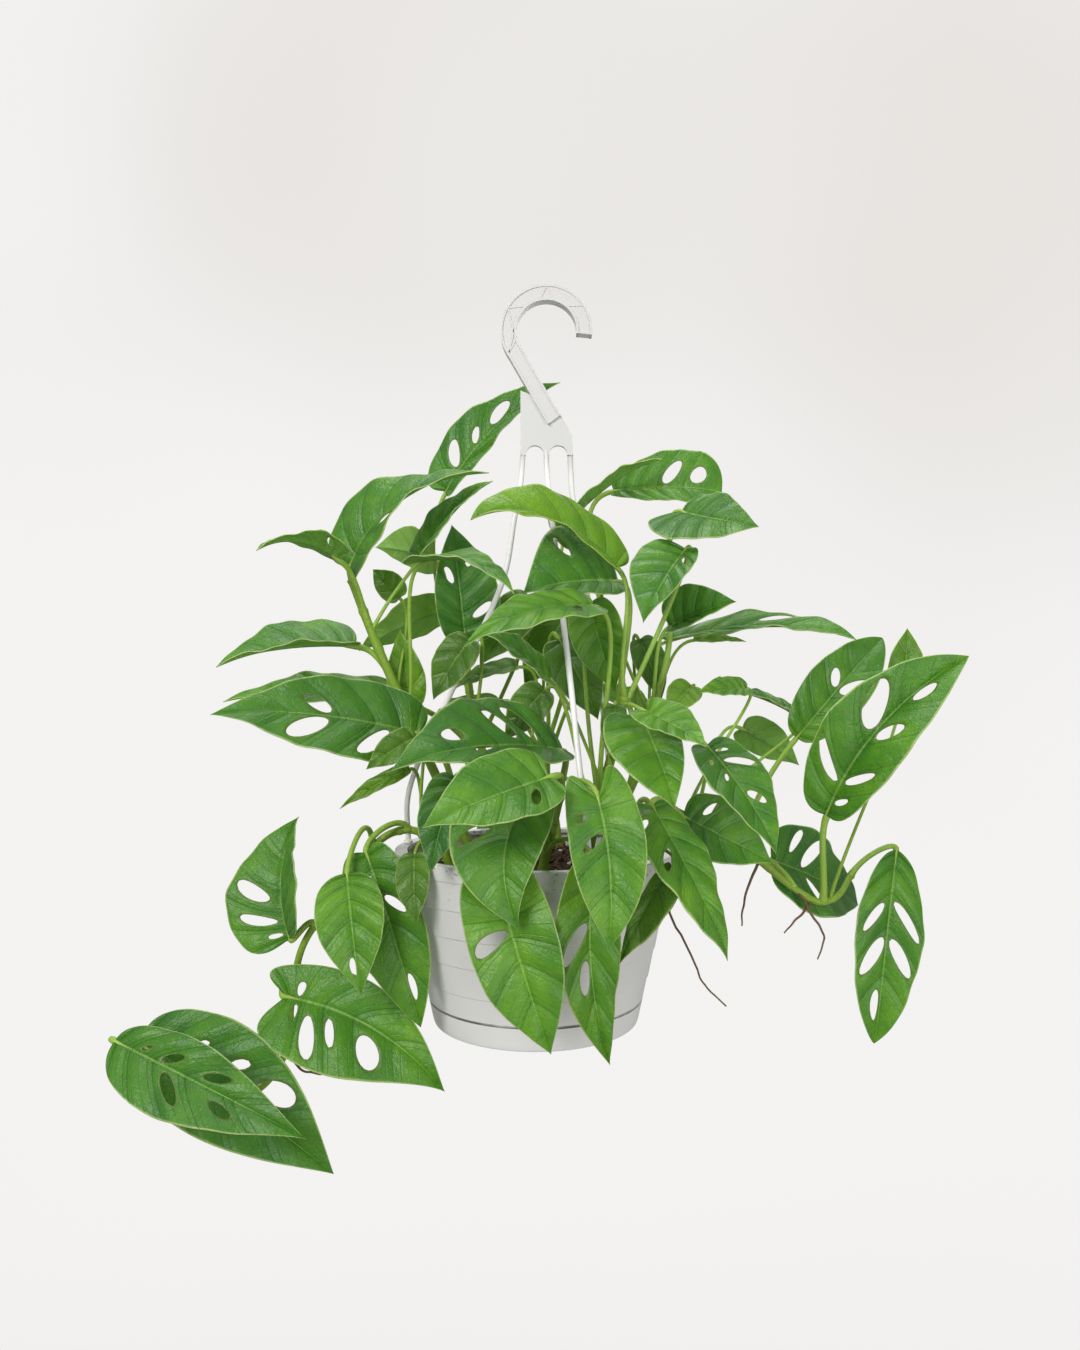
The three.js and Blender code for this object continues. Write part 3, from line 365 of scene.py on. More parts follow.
def mesh_of(name: str, surface: Surface) -> bpy.types.Mesh:
    """Put a surface into a mesh, in metres in the part's frame, with its marks as attributes.

    Args:
        name: The mesh's name.
        surface: What it holds.

    Returns:
        The smooth-shaded mesh.
    """
    mesh = bpy.data.meshes.new(name)
    places = (surface.points - HOOK_CROWN) * MILLIMETRE
    corners = np.concatenate([surface.triangles.ravel(), surface.quads.ravel()]).astype(np.int32)
    sizes = np.concatenate([np.full(len(surface.triangles), 3), np.full(len(surface.quads), 4)])
    starts = (np.cumsum(sizes) - sizes).astype(np.int32)
    mesh.vertices.add(len(places))
    mesh.vertices.foreach_set("co", places.astype(np.float32).ravel())
    mesh.loops.add(len(corners))
    mesh.loops.foreach_set("vertex_index", corners)
    mesh.polygons.add(len(starts))
    mesh.polygons.foreach_set("loop_start", starts)
    mesh.update(calc_edges=True)
    for mark, values in surface.marks.items():
        attribute = mesh.attributes.new(mark, "FLOAT", "POINT")
        attribute.data.foreach_set("value", values.astype(np.float32))
    mesh.shade_smooth()
    return mesh


def piece_of(name: str, surface: Surface, finish: Material, nodes: tuple[str, ...]) -> Object:
    """Make a surface a piece of the part.

    Args:
        name: The piece's name.
        surface: Its shape.
        finish: Its material.
        nodes: The solids that it stands for, if any.

    Returns:
        The piece, riding on the one body.
    """
    piece = bpy.data.objects.new(name, mesh_of(name, surface))
    bpy.context.collection.objects.link(piece)
    piece.data.materials.append(finish)
    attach(piece, "root")
    if nodes:
        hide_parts(*nodes)
    faces = len(surface.triangles) + 2 * len(surface.quads)
    LOG.info("%s: %d triangles", name, faces)
    return piece


def crease(piece: Object, degrees: float) -> None:
    """Leave edges that turn more than an angle sharp."""
    piece.data.set_sharp_from_angle(angle=math.radians(degrees))


def drilled(piece: Object, holes: list[Surface]) -> None:
    """Cut holes through a piece for good.

    Args:
        piece: The piece.
        holes: Closed surfaces of what is cut away.
    """
    drill = bpy.data.objects.new("drill", mesh_of("drill", joined(holes)))
    bpy.context.collection.objects.link(drill)
    cut = piece.modifiers.new("holes", "BOOLEAN")
    cut.operation = "DIFFERENCE"
    cut.solver = "EXACT"
    cut.object = drill
    whole = piece.evaluated_get(bpy.context.evaluated_depsgraph_get())
    shape = bpy.data.meshes.new_from_object(whole)
    piece.modifiers.clear()
    piece.data = shape
    bpy.data.objects.remove(drill)


# ---------- Finishes ----------


class NodeBench:
    """A node tree, and short calls that add nodes to it and join them."""

    def __init__(self, tree: NodeTree) -> None:
        """Keep the tree that the nodes go into."""
        self.tree = tree

    def feed(self, node: Node, inputs: dict) -> None:
        """Give a node its inputs.

        Args:
            node: The node.
            inputs: Value, or output socket to join, for each input by name or number.
        """
        for socket, value in inputs.items():
            if isinstance(value, Socket):
                self.tree.links.new(value, node.inputs[socket])
            else:
                node.inputs[socket].default_value = value

    def add(self, kind: str, inputs: dict | None = None, **settings: object) -> Node:
        """Add a node.

        Args:
            kind: The node's type name.
            inputs: What `feed` gives it.
            **settings: The node's own properties.

        Returns:
            The node.
        """
        node = self.tree.nodes.new(kind)
        for setting, value in settings.items():
            setattr(node, setting, value)
        self.feed(node, inputs or {})
        return node

    def math(self, operation: str, *values: object, clamp: bool = False) -> Socket:
        """Add a Math node and return its result."""
        inputs = dict(enumerate(values))
        return self.add("ShaderNodeMath", inputs, operation=operation, use_clamp=clamp).outputs[0]

    def ramp(self, value: object, low: float, high: float) -> Socket:
        """Add a smooth step of a value from 0 at `low` to 1 at `high` and return its result."""
        inputs = {"Value": value, "From Min": low, "From Max": high}
        return self.add("ShaderNodeMapRange", inputs, interpolation_type="SMOOTHSTEP").outputs["Result"]

    def blend(self, share: object, first: object, second: object) -> Socket:
        """Add a colour mix.

        Args:
            share: How much of the second colour there is.
            first: A colour, or a socket that gives one.
            second: The other.

        Returns:
            The mixed colour.
        """
        sides = [solid_colour(side) if isinstance(side, tuple) else side for side in (first, second)]
        return self.add("ShaderNodeMix", {0: share, 6: sides[0], 7: sides[1]}, data_type="RGBA").outputs[2]

    def tint(self, base: object, colour: object, mask: Socket, share: float) -> Socket:
        """Lay a colour over a base, as strongly as a share of a mask says, and return the result."""
        return self.blend(self.math("MULTIPLY", mask, share), base, colour)

    def noise(self, scale: object, place: object, detail: float = 2.0) -> Socket:
        """Add a noise texture on a place and return its value."""
        inputs = {"Scale": scale, "Detail": detail, "Vector": place}
        return self.add("ShaderNodeTexNoise", inputs).outputs["Fac"]

    def bump(self, height: Socket, strength: float, distance: float) -> Socket:
        """Add a bump of a height, at most `distance` metres deep, and return its normal."""
        inputs = {"Height": height, "Strength": strength, "Distance": distance}
        return self.add("ShaderNodeBump", inputs).outputs["Normal"]

    def mark(self, name: str) -> Socket:
        """Read one of the piece's own marks."""
        return self.add("ShaderNodeAttribute", attribute_name=name).outputs["Fac"]

    def place(self) -> Socket:
        """Read the place on the piece, in metres in the part's frame."""
        return self.add("ShaderNodeTexCoord").outputs["Object"]


def solid_colour(colour: Colour) -> tuple[float, float, float, float]:
    """Return a colour with full opacity."""
    return (*colour, 1.0)


def new_material(name: str) -> tuple[Material, NodeBench, Node]:
    """Start a material.

    Args:
        name: The material's name.

    Returns:
        The material, a bench on its tree, and its Principled BSDF node.
    """
    material = bpy.data.materials.new(name)
    material.use_nodes = True
    bench = NodeBench(material.node_tree)
    return material, bench, material.node_tree.nodes["Principled BSDF"]


def new_group(name: str, inputs: dict, outputs: tuple[str, ...]) -> (
    tuple[NodeTree, NodeBench, list[Socket], Node]
):
    """Start a node group with named sockets.

    Args:
        name: The group's name.
        inputs: Default value of each number or vector that goes in.
        outputs: The numbers that come out.

    Returns:
        The group, a bench on it, what comes in, and the node that takes what goes out.
    """
    group = bpy.data.node_groups.new(name, "ShaderNodeTree")
    for socket, value in inputs.items():
        kind = "NodeSocketVector" if isinstance(value, tuple) else "NodeSocketFloat"
        group.interface.new_socket(socket, in_out="INPUT", socket_type=kind).default_value = value
    for socket in outputs:
        group.interface.new_socket(socket, in_out="OUTPUT", socket_type="NodeSocketFloat")
    bench = NodeBench(group)
    source = bench.add("NodeGroupInput")
    return group, bench, [source.outputs[socket] for socket in inputs], bench.add("NodeGroupOutput")


def speckle_group() -> NodeTree:
    """Build the group that scatters small specks: noise above a level, gathered by a wider noise.

    Returns:
        The group: Place, Size, Level and Spread in, Specks out.
    """
    inputs = {"Place": (0.0, 0.0, 0.0), "Size": 400.0, "Level": 0.66, "Spread": 0.06}
    group, bench, (place, size, level, spread), sink = new_group("speckle", inputs, ("Specks",))
    wide = bench.noise(bench.math("MULTIPLY", size, 0.12), place)
    gathered = bench.math("MULTIPLY_ADD", wide, 0.3, bench.noise(size, place))
    above = bench.math("SUBTRACT", gathered, bench.math("ADD", level, 0.15))
    bench.feed(sink, {"Specks": bench.math("DIVIDE", above, spread, clamp=True)})
    return group


def vein_group() -> NodeTree:
    """Build the group that draws a leaf's veins from the marks of its blade.

    A side vein lies where the vein count is whole, a finer one halfway between thirds of a count,
    and the midrib where the place across is zero; each fades out over a share of the blade. The
    swell rises from 0 on a side vein to 1 midway to the next.

    Returns:
        The group: Count, Across, Width in; Midrib, Side Veins, Fine Veins, Swell out.
    """
    outputs = ("Midrib", "Side Veins", "Fine Veins", "Swell")
    inputs = {"Count": 0.0, "Across": 0.0, "Width": 0.06}
    group, bench, (count, across, width), sink = new_group("veins", inputs, outputs)
    across = bench.math("ABSOLUTE", across)
    to_vein = bench.math("PINGPONG", count, 0.5)
    to_finer = bench.math("PINGPONG", bench.math("MULTIPLY_ADD", count, 3.0, 0.5), 0.5)
    width = bench.math("MULTIPLY", width, bench.math("MULTIPLY_ADD", across, -0.6, 1.0))
    side = bench.math("SUBTRACT", 1.0, bench.math("DIVIDE", to_vein, width), clamp=True)
    fine_width = bench.math("MULTIPLY", width, 1.4)
    fine = bench.math("SUBTRACT", 1.0, bench.math("DIVIDE", to_finer, fine_width), clamp=True)
    midrib = bench.math("SUBTRACT", 1.0, bench.ramp(across, 0.01, 0.04))
    swell = bench.math("POWER", bench.math("MULTIPLY", to_vein, 2.0), 0.5)
    bench.feed(sink, dict(zip(outputs, (midrib, side, fine, swell))))
    return group


@dataclass(frozen=True)
class PlasticFinish:
    """Satin moulded plastic with a little dirt near the top, a painted shade line round the foot, and a
    darker painted shade above a set height.
    """

    name: str
    colour: Colour
    shade: Colour
    roughness: float
    dirt: float  # how strong the specks near the top are
    dirt_height: float = 96.0
    painted_shade_height: float = 1000.0  # above this the shade colour takes over from the colour: painted shade
    seam_height: float = 14.7  # a painted shade line runs round the pot here, over the saucer's rim
    clouding: float = 1.0  # how strongly the shade also shows as soft clouds
    # colour of the dirt specks near the top and of the painted shade line at the seam
    dirt_and_seam_shade: Colour = (0.10, 0.085, 0.06)
    change: float = 0.02  # metres over which the painted shade above a height or the dirt near the top sets in
    seam_shade_reach: tuple[float, float] = (0.0003, 0.0011)  # where the seam's painted shade thins and ends, metres

    def build(self, specks: NodeTree) -> Material:
        """Make the material.

        Args:
            specks: The speckle group.

        Returns:
            The material.
        """
        material, bench, shader = new_material(self.name)
        place = bench.place()
        height = bench.add("ShaderNodeSeparateXYZ", {"Vector": place}).outputs["Z"]
        levels = (self.painted_shade_height, self.dirt_height, self.seam_height)
        turn, top, seam = ((level - HOOK_CROWN[2]) * MILLIMETRE for level in levels)
        # Soft random clouds of the shade colour, and above the set height the shade colour all over:
        # painted shade.
        clouds = bench.math("MULTIPLY", bench.ramp(bench.noise(22.0, place), 0.35, 0.7), self.clouding)
        shaded = bench.math("MAXIMUM", clouds, bench.ramp(height, turn - self.change, turn))
        body = bench.blend(shaded, self.colour, self.shade)
        inputs = {"Place": place, "Size": 420.0, "Level": 0.62, "Spread": 0.05}
        spotted = bench.add("ShaderNodeGroup", inputs, node_tree=specks).outputs["Specks"]
        near_top = bench.math("MULTIPLY", bench.ramp(height, top - self.change, top), self.dirt)
        # Painted shade: a dark line round the pot just over the saucer's rim, where the gap between them
        # lies in shade, broken up by a noise.
        away = bench.math("ABSOLUTE", bench.math("SUBTRACT", height, seam))
        line = bench.math("SUBTRACT", 1.0, bench.ramp(away, *self.seam_shade_reach))
        seam_shade_patches = bench.math("MULTIPLY_ADD", bench.ramp(bench.noise(45.0, place), 0.4, 0.65), 0.65, 0.3)
        spots = bench.math("MULTIPLY", spotted, near_top)
        # The dirt specks near the top and the painted shade line at the seam take the same dark stain
        # colour.
        dirt = bench.math("MAXIMUM", spots, bench.math("MULTIPLY", line, seam_shade_patches))
        inputs = {
            "Base Color": bench.blend(dirt, body, self.dirt_and_seam_shade),
            "Normal": bench.bump(bench.noise(900.0, place), 0.04, 0.0004),
            "Roughness": self.roughness,
        }
        bench.feed(shader, inputs)
        return material


@dataclass(frozen=True)
class CrumbFinish:
    """Loose matter: soil, bark or perlite, in two shades that change from crumb to crumb."""

    name: str
    dark: Colour
    light: Colour
    crumb: float  # crumbs to a metre
    bump: float

    def build(self) -> Material:
        """Make the material.

        Returns:
            The material.
        """
        material, bench, shader = new_material(self.name)
        place = bench.place()
        share = bench.ramp(bench.noise(self.crumb, place, detail=6.0), 0.35, 0.68)
        rough = bench.noise(self.crumb * 1.7, place, detail=4.0)
        inputs = {
            "Base Color": bench.blend(share, self.dark, self.light),
            "Normal": bench.bump(rough, self.bump, 0.001),
            "Roughness": 0.95,
            "Specular IOR Level": 0.2,
        }
        bench.feed(shader, inputs)
        return material


@dataclass(frozen=True)
class LeafFinish:
    """A leaf from petiole to tip: blade, veins, margin, underside and stalk."""

    name: str
    deep: Colour  # shade of a leaf whose tone is -1
    middle: Colour
    young: Colour  # shade of a leaf whose tone is 1
    vein: Colour
    margin: Colour
    # the underside's own paler green, set brighter as painted light for the light through the blade
    underside: Colour
    stalk: Colour
    root: Colour = (0.13, 0.07, 0.035)
    hole_edge: Colour = (0.12, 0.16, 0.04)  # rim of a hole
    roughness: float = 0.4
    dull_underside: float = 0.25  # how much rougher the underside is
    shine: float = 0.4
    vein_width: float = 0.07  # in side vein counts
    net: float = 420.0  # cells of the finest veins to a metre
    relief: float = 0.0012  # depth of the blade's fine relief, metres

    def build(self, veins: NodeTree, specks: NodeTree) -> Material:
        """Make the material.

        Args:
            veins: The vein group.
            specks: The speckle group.

        Returns:
            The material.
        """
        material, bench, shader = new_material(self.name)
        place, across, underside = bench.place(), bench.mark("across"), bench.mark("underside")
        inputs = {"Count": bench.mark("vein_count"), "Across": across, "Width": self.vein_width}
        lines = bench.add("ShaderNodeGroup", inputs, node_tree=veins).outputs
        # Broad and fine clouds on the leaf's own tone choose among the three greens.
        cloud = bench.math("MULTIPLY_ADD", bench.noise(38.0, place), 2.2, -1.1)
        cloud = bench.math("MULTIPLY_ADD", bench.noise(150.0, place), 0.8, bench.math("ADD", cloud, -0.4))
        shade = bench.math("ADD", bench.mark("tone"), cloud)
        upper = bench.blend(bench.math("MULTIPLY", shade, -1.0, clamp=True), self.middle, self.deep)
        upper = bench.blend(bench.math("MULTIPLY", shade, 1.0, clamp=True), upper, self.young)
        # The net of the finest veins, the finer side veins and the side veins are darkened towards the
        # deep green: painted shade in their creases.
        inputs = {"Vector": place, "Scale": self.net}
        cells = bench.add("ShaderNodeTexVoronoi", inputs, feature="DISTANCE_TO_EDGE").outputs["Distance"]
        mesh = bench.math("SUBTRACT", 1.0, bench.ramp(cells, 0.0, 0.2))
        fine = bench.math("MAXIMUM", bench.math("MULTIPLY", mesh, 0.3), lines["Fine Veins"])
        painted_crease_shade = bench.math("MAXIMUM", bench.math("MULTIPLY", fine, 0.4), lines["Side Veins"])
        # The swell between side veins is tinted lighter: painted highlight on the quilting.
        upper = bench.tint(upper, self.young, lines["Swell"], 0.08)
        upper = bench.tint(upper, self.deep, painted_crease_shade, 0.35)
        upper = bench.tint(upper, self.vein, lines["Midrib"], 0.55)
        # The underside: its own paler green brightened as painted light, with pale side veins.
        pale = bench.tint(self.underside, self.vein, lines["Side Veins"], 0.5)
        # The rim is pale on the outer margin and dark round a hole.
        outer = bench.ramp(bench.math("ABSOLUTE", across), 0.9, 0.98)
        rim = bench.blend(outer, self.hole_edge, self.margin)
        blade = bench.blend(underside, upper, pale)
        blade = bench.tint(blade, rim, bench.ramp(bench.mark("rim"), 0.35, 0.85), 0.75)
        inputs = {"Place": place, "Size": 500.0, "Level": 0.7}
        dots = bench.add("ShaderNodeGroup", inputs, node_tree=specks).outputs["Specks"]
        blade = bench.tint(blade, self.margin, dots, 0.15)
        stalk = bench.blend(bench.mark("root"), self.stalk, self.root)
        # The relief: quilting between the side veins, soft dents, the net and a fine grain.
        height = bench.math("MULTIPLY_ADD", lines["Swell"], 1.2, bench.noise(110.0, place))
        height = bench.math("MULTIPLY_ADD", fine, -0.2, height)
        height = bench.math("MULTIPLY_ADD", bench.noise(600.0, place), 0.35, height)
        inputs = {
            "Base Color": bench.blend(bench.mark("stalk"), blade, stalk),
            "Roughness": bench.math("MULTIPLY_ADD", underside, self.dull_underside, self.roughness),
            "Normal": bench.bump(height, 0.85, self.relief),
            "Subsurface Weight": 0.22,
            "Subsurface Radius": (0.6, 1.0, 0.25),
            "Subsurface Scale": 0.004,
            "Specular IOR Level": self.shine,
        }
        bench.feed(shader, inputs)
        return material


# ---------- Pot, saucer and soil ----------

SEAT = 0.3  # air between two pieces that touch


@dataclass
class Saucer:
    """The shallow dish that the pot's foot drops into."""

    floor_radius: float = 56.5
    corner_radius: float = 60.4
    rim_radius: float = 62.6
    height: float = 14.0
    wall: float = 1.5
    foot_ring: float = 50.0
    segments: int = 144

    def shape(self) -> Surface:
        """Turn the dish.

        Returns:
            The dish: a foot ring, a rounded floor corner, a flaring wall and a rounded rim.
        """
        rim_in = self.rim_radius - self.wall
        profile = rounded(
            [
                (0, 1.0, 0),
                (self.foot_ring - 3, 1.0, 0.4),
                (self.foot_ring - 2, 0, 0.4),
                (self.floor_radius, 0, 1.6),
                (self.corner_radius - 0.9, 1.2, 0.8),
                (self.corner_radius, 3.8, 1.2),
                (self.rim_radius, self.height, 0.5),
                (rim_in, self.height, 0.5),
                (self.corner_radius - self.wall, 4, 1.0),
                (self.floor_radius + 0.9, self.wall, 1.0),
                (0, self.wall, 0),
            ]
        )
        return lathe(profile, self.segments)

    def build(self, plastic: Material) -> None:
        """Make the saucer and dress it in the pot's plastic."""
        piece = piece_of("saucer_moulded", self.shape(), plastic, ("saucer",))
        crease(piece, 50)


@dataclass
class Pot:
    """The tapering pot with its moulded steps, inward lip, strand holes and drain holes."""

    height: float = 101.0
    rim_radius: float = 82.8
    seam_radius: float = 62.6
    seam_height: float = 14.4
    wall: float = 1.8
    step_heights: tuple[float, ...] = (28.2, 44.7, 60.7, 76.6, 92.6)
    step_out: float = 0.6
    spigot_top: float = 60.3
    spigot_bottom: float = 56.8
    lip_inner: float = 75.4
    lip_depth: float = 2.8
    drain_holes: int = 5
    drain_radius: float = 4.0
    drain_circle: float = 38.0
    floor: float = 1.8
    pin_reach: float = 6.0  # how far a hole's pin stands past the hole either way
    pin_sides: int = 24
    segments: int = 160

    def wall_radius(self, height: float) -> float:
        """Outer radius at a height: a straight taper from the seam to the rim."""
        rise = (height - self.seam_height) / (self.height - self.seam_height)
        return self.seam_radius + rise * (self.rim_radius - self.seam_radius)

    def shape(self) -> Surface:
        """Turn the pot.

        Returns:
            The pot before its holes: foot, stepped wall, rounded rim, lip and inside.
        """
        corners = [
            (0, self.floor, 0),
            (self.spigot_bottom, self.floor, 1.2),
            (self.spigot_top, self.seam_height - 0.4, 0.1),
            (self.spigot_top, self.seam_height, 0.1),
            (self.seam_radius, self.seam_height, 0.3),
        ]
        for height in self.step_heights:
            radius = self.wall_radius(height)
            corners.append((radius - self.step_out / 2, height, 0.25))
            corners.append((radius + self.step_out / 2, height + 0.4, 0.3))
        inner_top = self.wall_radius(self.height - self.lip_depth) - self.wall
        corners += [
            (self.rim_radius, self.height, 1.1),
            (self.lip_inner, self.height, 0.5),
            (self.lip_inner, self.height - self.lip_depth, 0.4),
            (inner_top, self.height - self.lip_depth, 0.4),
            (self.spigot_bottom - self.wall, self.floor + self.wall, 1.0),
            (0, self.floor + self.wall, 0),
        ]
        return lathe(rounded(corners), self.segments)

    def holes(self, strand_places: list[Point], strand_radius: float) -> list[Surface]:
        """Pins for the holes in the lip and in the floor.

        Args:
            strand_places: Where each strand passes the lip.
            strand_radius: Radius of the hole round a strand.

        Returns:
            One upright pin for each hole.
        """
        pins = [(x, y, self.height, strand_radius) for x, y, _ in strand_places]
        for index in range(self.drain_holes):
            angle = index / self.drain_holes * 2 * math.pi
            x, y = self.drain_circle * math.cos(angle), self.drain_circle * math.sin(angle)
            pins.append((x, y, self.floor, self.drain_radius))
        low, high = -self.pin_reach, self.pin_reach
        outlines = [np.array([(0, low), (pin[3], low), (pin[3], high), (0, high)]) for pin in pins]
        return [lathe(line, self.pin_sides).moved(pin[:3]) for line, pin in zip(outlines, pins)]

    def build(self, plastic: Material, strand_places: list[Point], strand_radius: float) -> None:
        """Make the pot and cut its holes.

        Args:
            plastic: The pot's plastic.
            strand_places: Where each strand passes the lip.
            strand_radius: Radius of the hole round a strand.
        """
        piece = piece_of("pot_moulded", self.shape(), plastic, ("pot",))
        drilled(piece, self.holes(strand_places, strand_radius))
        crease(piece, 45)


@dataclass
class Soil:
    """Potting soil mounded in the pot, with perlite and bark lying on it."""

    edge_height: float = 89.0
    crown_height: float = 94.5
    floor: float = 3.9
    floor_radius: float = 53.9
    edge_radius: float = 74.6
    rings: int = 70
    segments: int = 200
    lump: float = 1.5
    perlite_grains: int = 150
    perlite_radii: tuple[float, float] = (0.7, 1.7)
    perlite_flatness: float = 0.7
    bark_chips: int = 260
    bark_radii: tuple[float, float] = (1.2, 4.2)
    bark_flatness: float = 0.35
    wall_gap: float = 3.0  # how far a grain's middle stays from the edge
    squeeze: tuple[float, float] = (0.75, 1.15)  # least and greatest share that a corner is moved to
    tilt: float = 0.12
    bedding: float = 0.3  # height of a grain's middle over the soil

    def top_height(self, x: Array, y: Array) -> Array:
        """Height of the soil.

        Args:
            x: Places to the right of the pot's axis.
            y: Places behind it.

        Returns:
            A mound that falls with the square of the radius, plus drifting lumps of three sizes.
        """
        share = np.hypot(x, y) / self.edge_radius
        mound = self.crown_height + (self.edge_height - self.crown_height) * share**2
        place = np.stack([x, y, np.zeros_like(x)], axis=-1)
        coarse, fine, crumbs = (drift(place, size, SEED + i) for i, size in enumerate((17.0, 5.0, 2.2)))
        return mound + self.lump * (coarse * 0.9 + fine * 0.5 + crumbs * 0.3)

    def shape(self) -> Surface:
        """Lay rings over the mound and close them down the pot's inner wall to its floor.

        Returns:
            The whole body of soil.
        """
        radii = np.linspace(0, self.edge_radius, self.rings + 1)[1:, None]
        angles = np.linspace(0, 2 * np.pi, self.segments, endpoint=False)
        x, y = radii * np.cos(angles), radii * np.sin(angles)
        top = np.stack([x, y, self.top_height(x, y)], axis=-1)
        inset = self.floor_radius / self.edge_radius
        floor_ring = top[-1] * [inset, inset, 0] + [0, 0, self.floor]
        return swept(np.concatenate([floor_ring[None], top[::-1]]))

    def scatter(self, count: int, size: tuple[float, float], flatness: float, seed: int) -> Surface:
        """Lay faceted lumps on the soil, each a twelve-cornered ball squeezed at random.

        Args:
            count: How many lumps.
            size: Smallest and largest radius.
            flatness: Share of its length that a lump keeps in its other two directions.
            seed: Number that fixes the draw.

        Returns:
            All the lumps as one surface.
        """
        draw = np.random.default_rng(seed)
        golden = (1 + 5**0.5) / 2
        rows = [(-1, golden, 0), (1, golden, 0), (-1, -golden, 0), (1, -golden, 0)]
        corners = np.array([np.roll(row, turn) for turn in range(3) for row in rows])
        corners = corners / math.hypot(1, golden)
        faces = nearest_triangles(corners)
        radii = np.sqrt(draw.uniform(0.02, 1, count)) * (self.edge_radius - self.wall_gap)
        angles = draw.uniform(0, 2 * np.pi, count)
        x, y = radii * np.cos(angles), radii * np.sin(angles)
        lumps = corners[None] * draw.uniform(*self.squeeze, (count, len(corners), 1))
        lumps = lumps * np.array([1, flatness**0.5, flatness]) * draw.uniform(*size, (count, 1, 1))
        turns, tilts = draw.uniform(0, 2 * np.pi, (2, count, 1))
        long, broad, high = np.moveaxis(lumps, -1, 0)
        turned_x = long * np.cos(turns) - broad * np.sin(turns)
        turned_y = long * np.sin(turns) + broad * np.cos(turns)
        lumps = np.stack([turned_x, turned_y, high + long * np.sin(tilts * self.tilt)], axis=-1)
        lumps += np.stack([x, y, self.top_height(x, y) + self.bedding], axis=-1)[:, None]
        triangles = (faces[None] + np.arange(count)[:, None, None] * len(corners)).reshape(-1, 3)
        return Surface(lumps.reshape(-1, 3), triangles, np.zeros((0, 4), dtype=int), {})

    def build(self, soil: Material, perlite: Material, bark: Material) -> None:
        """Make the mound and what lies on it.

        Args:
            soil: The soil's finish.
            perlite: The white grains' finish.
            bark: The bark chips' finish.
        """
        piece_of("soil_mound", self.shape(), soil, ("soil",))
        grains = self.scatter(self.perlite_grains, self.perlite_radii, self.perlite_flatness, SEED + 3)
        chips = self.scatter(self.bark_chips, self.bark_radii, self.bark_flatness, SEED + 4)
        crease(piece_of("soil_perlite", grains, perlite, ()), 30)
        crease(piece_of("soil_bark", chips, bark, ()), 30)


def nearest_triangles(corners: Array) -> Array:
    """Faces of a twelve-cornered ball: each three corners that are neighbours of one another.

    Args:
        corners: The twelve corners on a unit sphere.

    Returns:
        Twenty triangles that face out.
    """
    gaps = np.linalg.norm(corners[:, None] - corners[None], axis=-1)
    near = (gaps > 0.1) & (gaps < gaps[gaps > 0.1].min() * 1.1)
    i, j, k = np.meshgrid(*[np.arange(12)] * 3, indexing="ij")
    chosen = (i < j) & (j < k) & near[i, j] & near[j, k] & near[i, k]
    faces = np.stack([i[chosen], j[chosen], k[chosen]], axis=-1)
    a, b, c = (corners[faces[:, n]] for n in range(3))
    inward = np.einsum("ij,ij->i", np.cross(b - a, c - a), a + b + c) < 0
    faces[inward] = faces[inward][:, ::-1]
    return faces


# ---------- Hanger ----------


@dataclass(frozen=True)
class Strand:
    """One strand of the hanger: the bearing of its foot from the front, and its route down."""

    bearing: float
    route: Route


STRANDS = (
    Strand(-99, ((-7.5, 0, 336), (-8.3, 1, 324), (-9.6, 1, 311), (-12.6, 2, 296), (-18, 4, 264),
                 (-26, 6, 243), (-48, 10, 198), (-72, 13, 147), (-77.5, 13, 127))),
    Strand(21, ((6.2, 0, 336), (6.4, -2, 324), (7.7, -6, 308), (10.5, -17, 282), (13, -27, 258),
                (15.5, -38, 231), (19, -50, 198), (23.5, -63, 152), (27.2, -72, 118))),
    Strand(141, ((20.1, 0, 336), (20.6, 3, 324), (21.6, 7, 311), (24.4, 12, 296), (29.5, 21, 263),
                 (35, 30, 232), (40.5, 41, 192), (46, 53, 150), (48.8, 60, 120))),
)


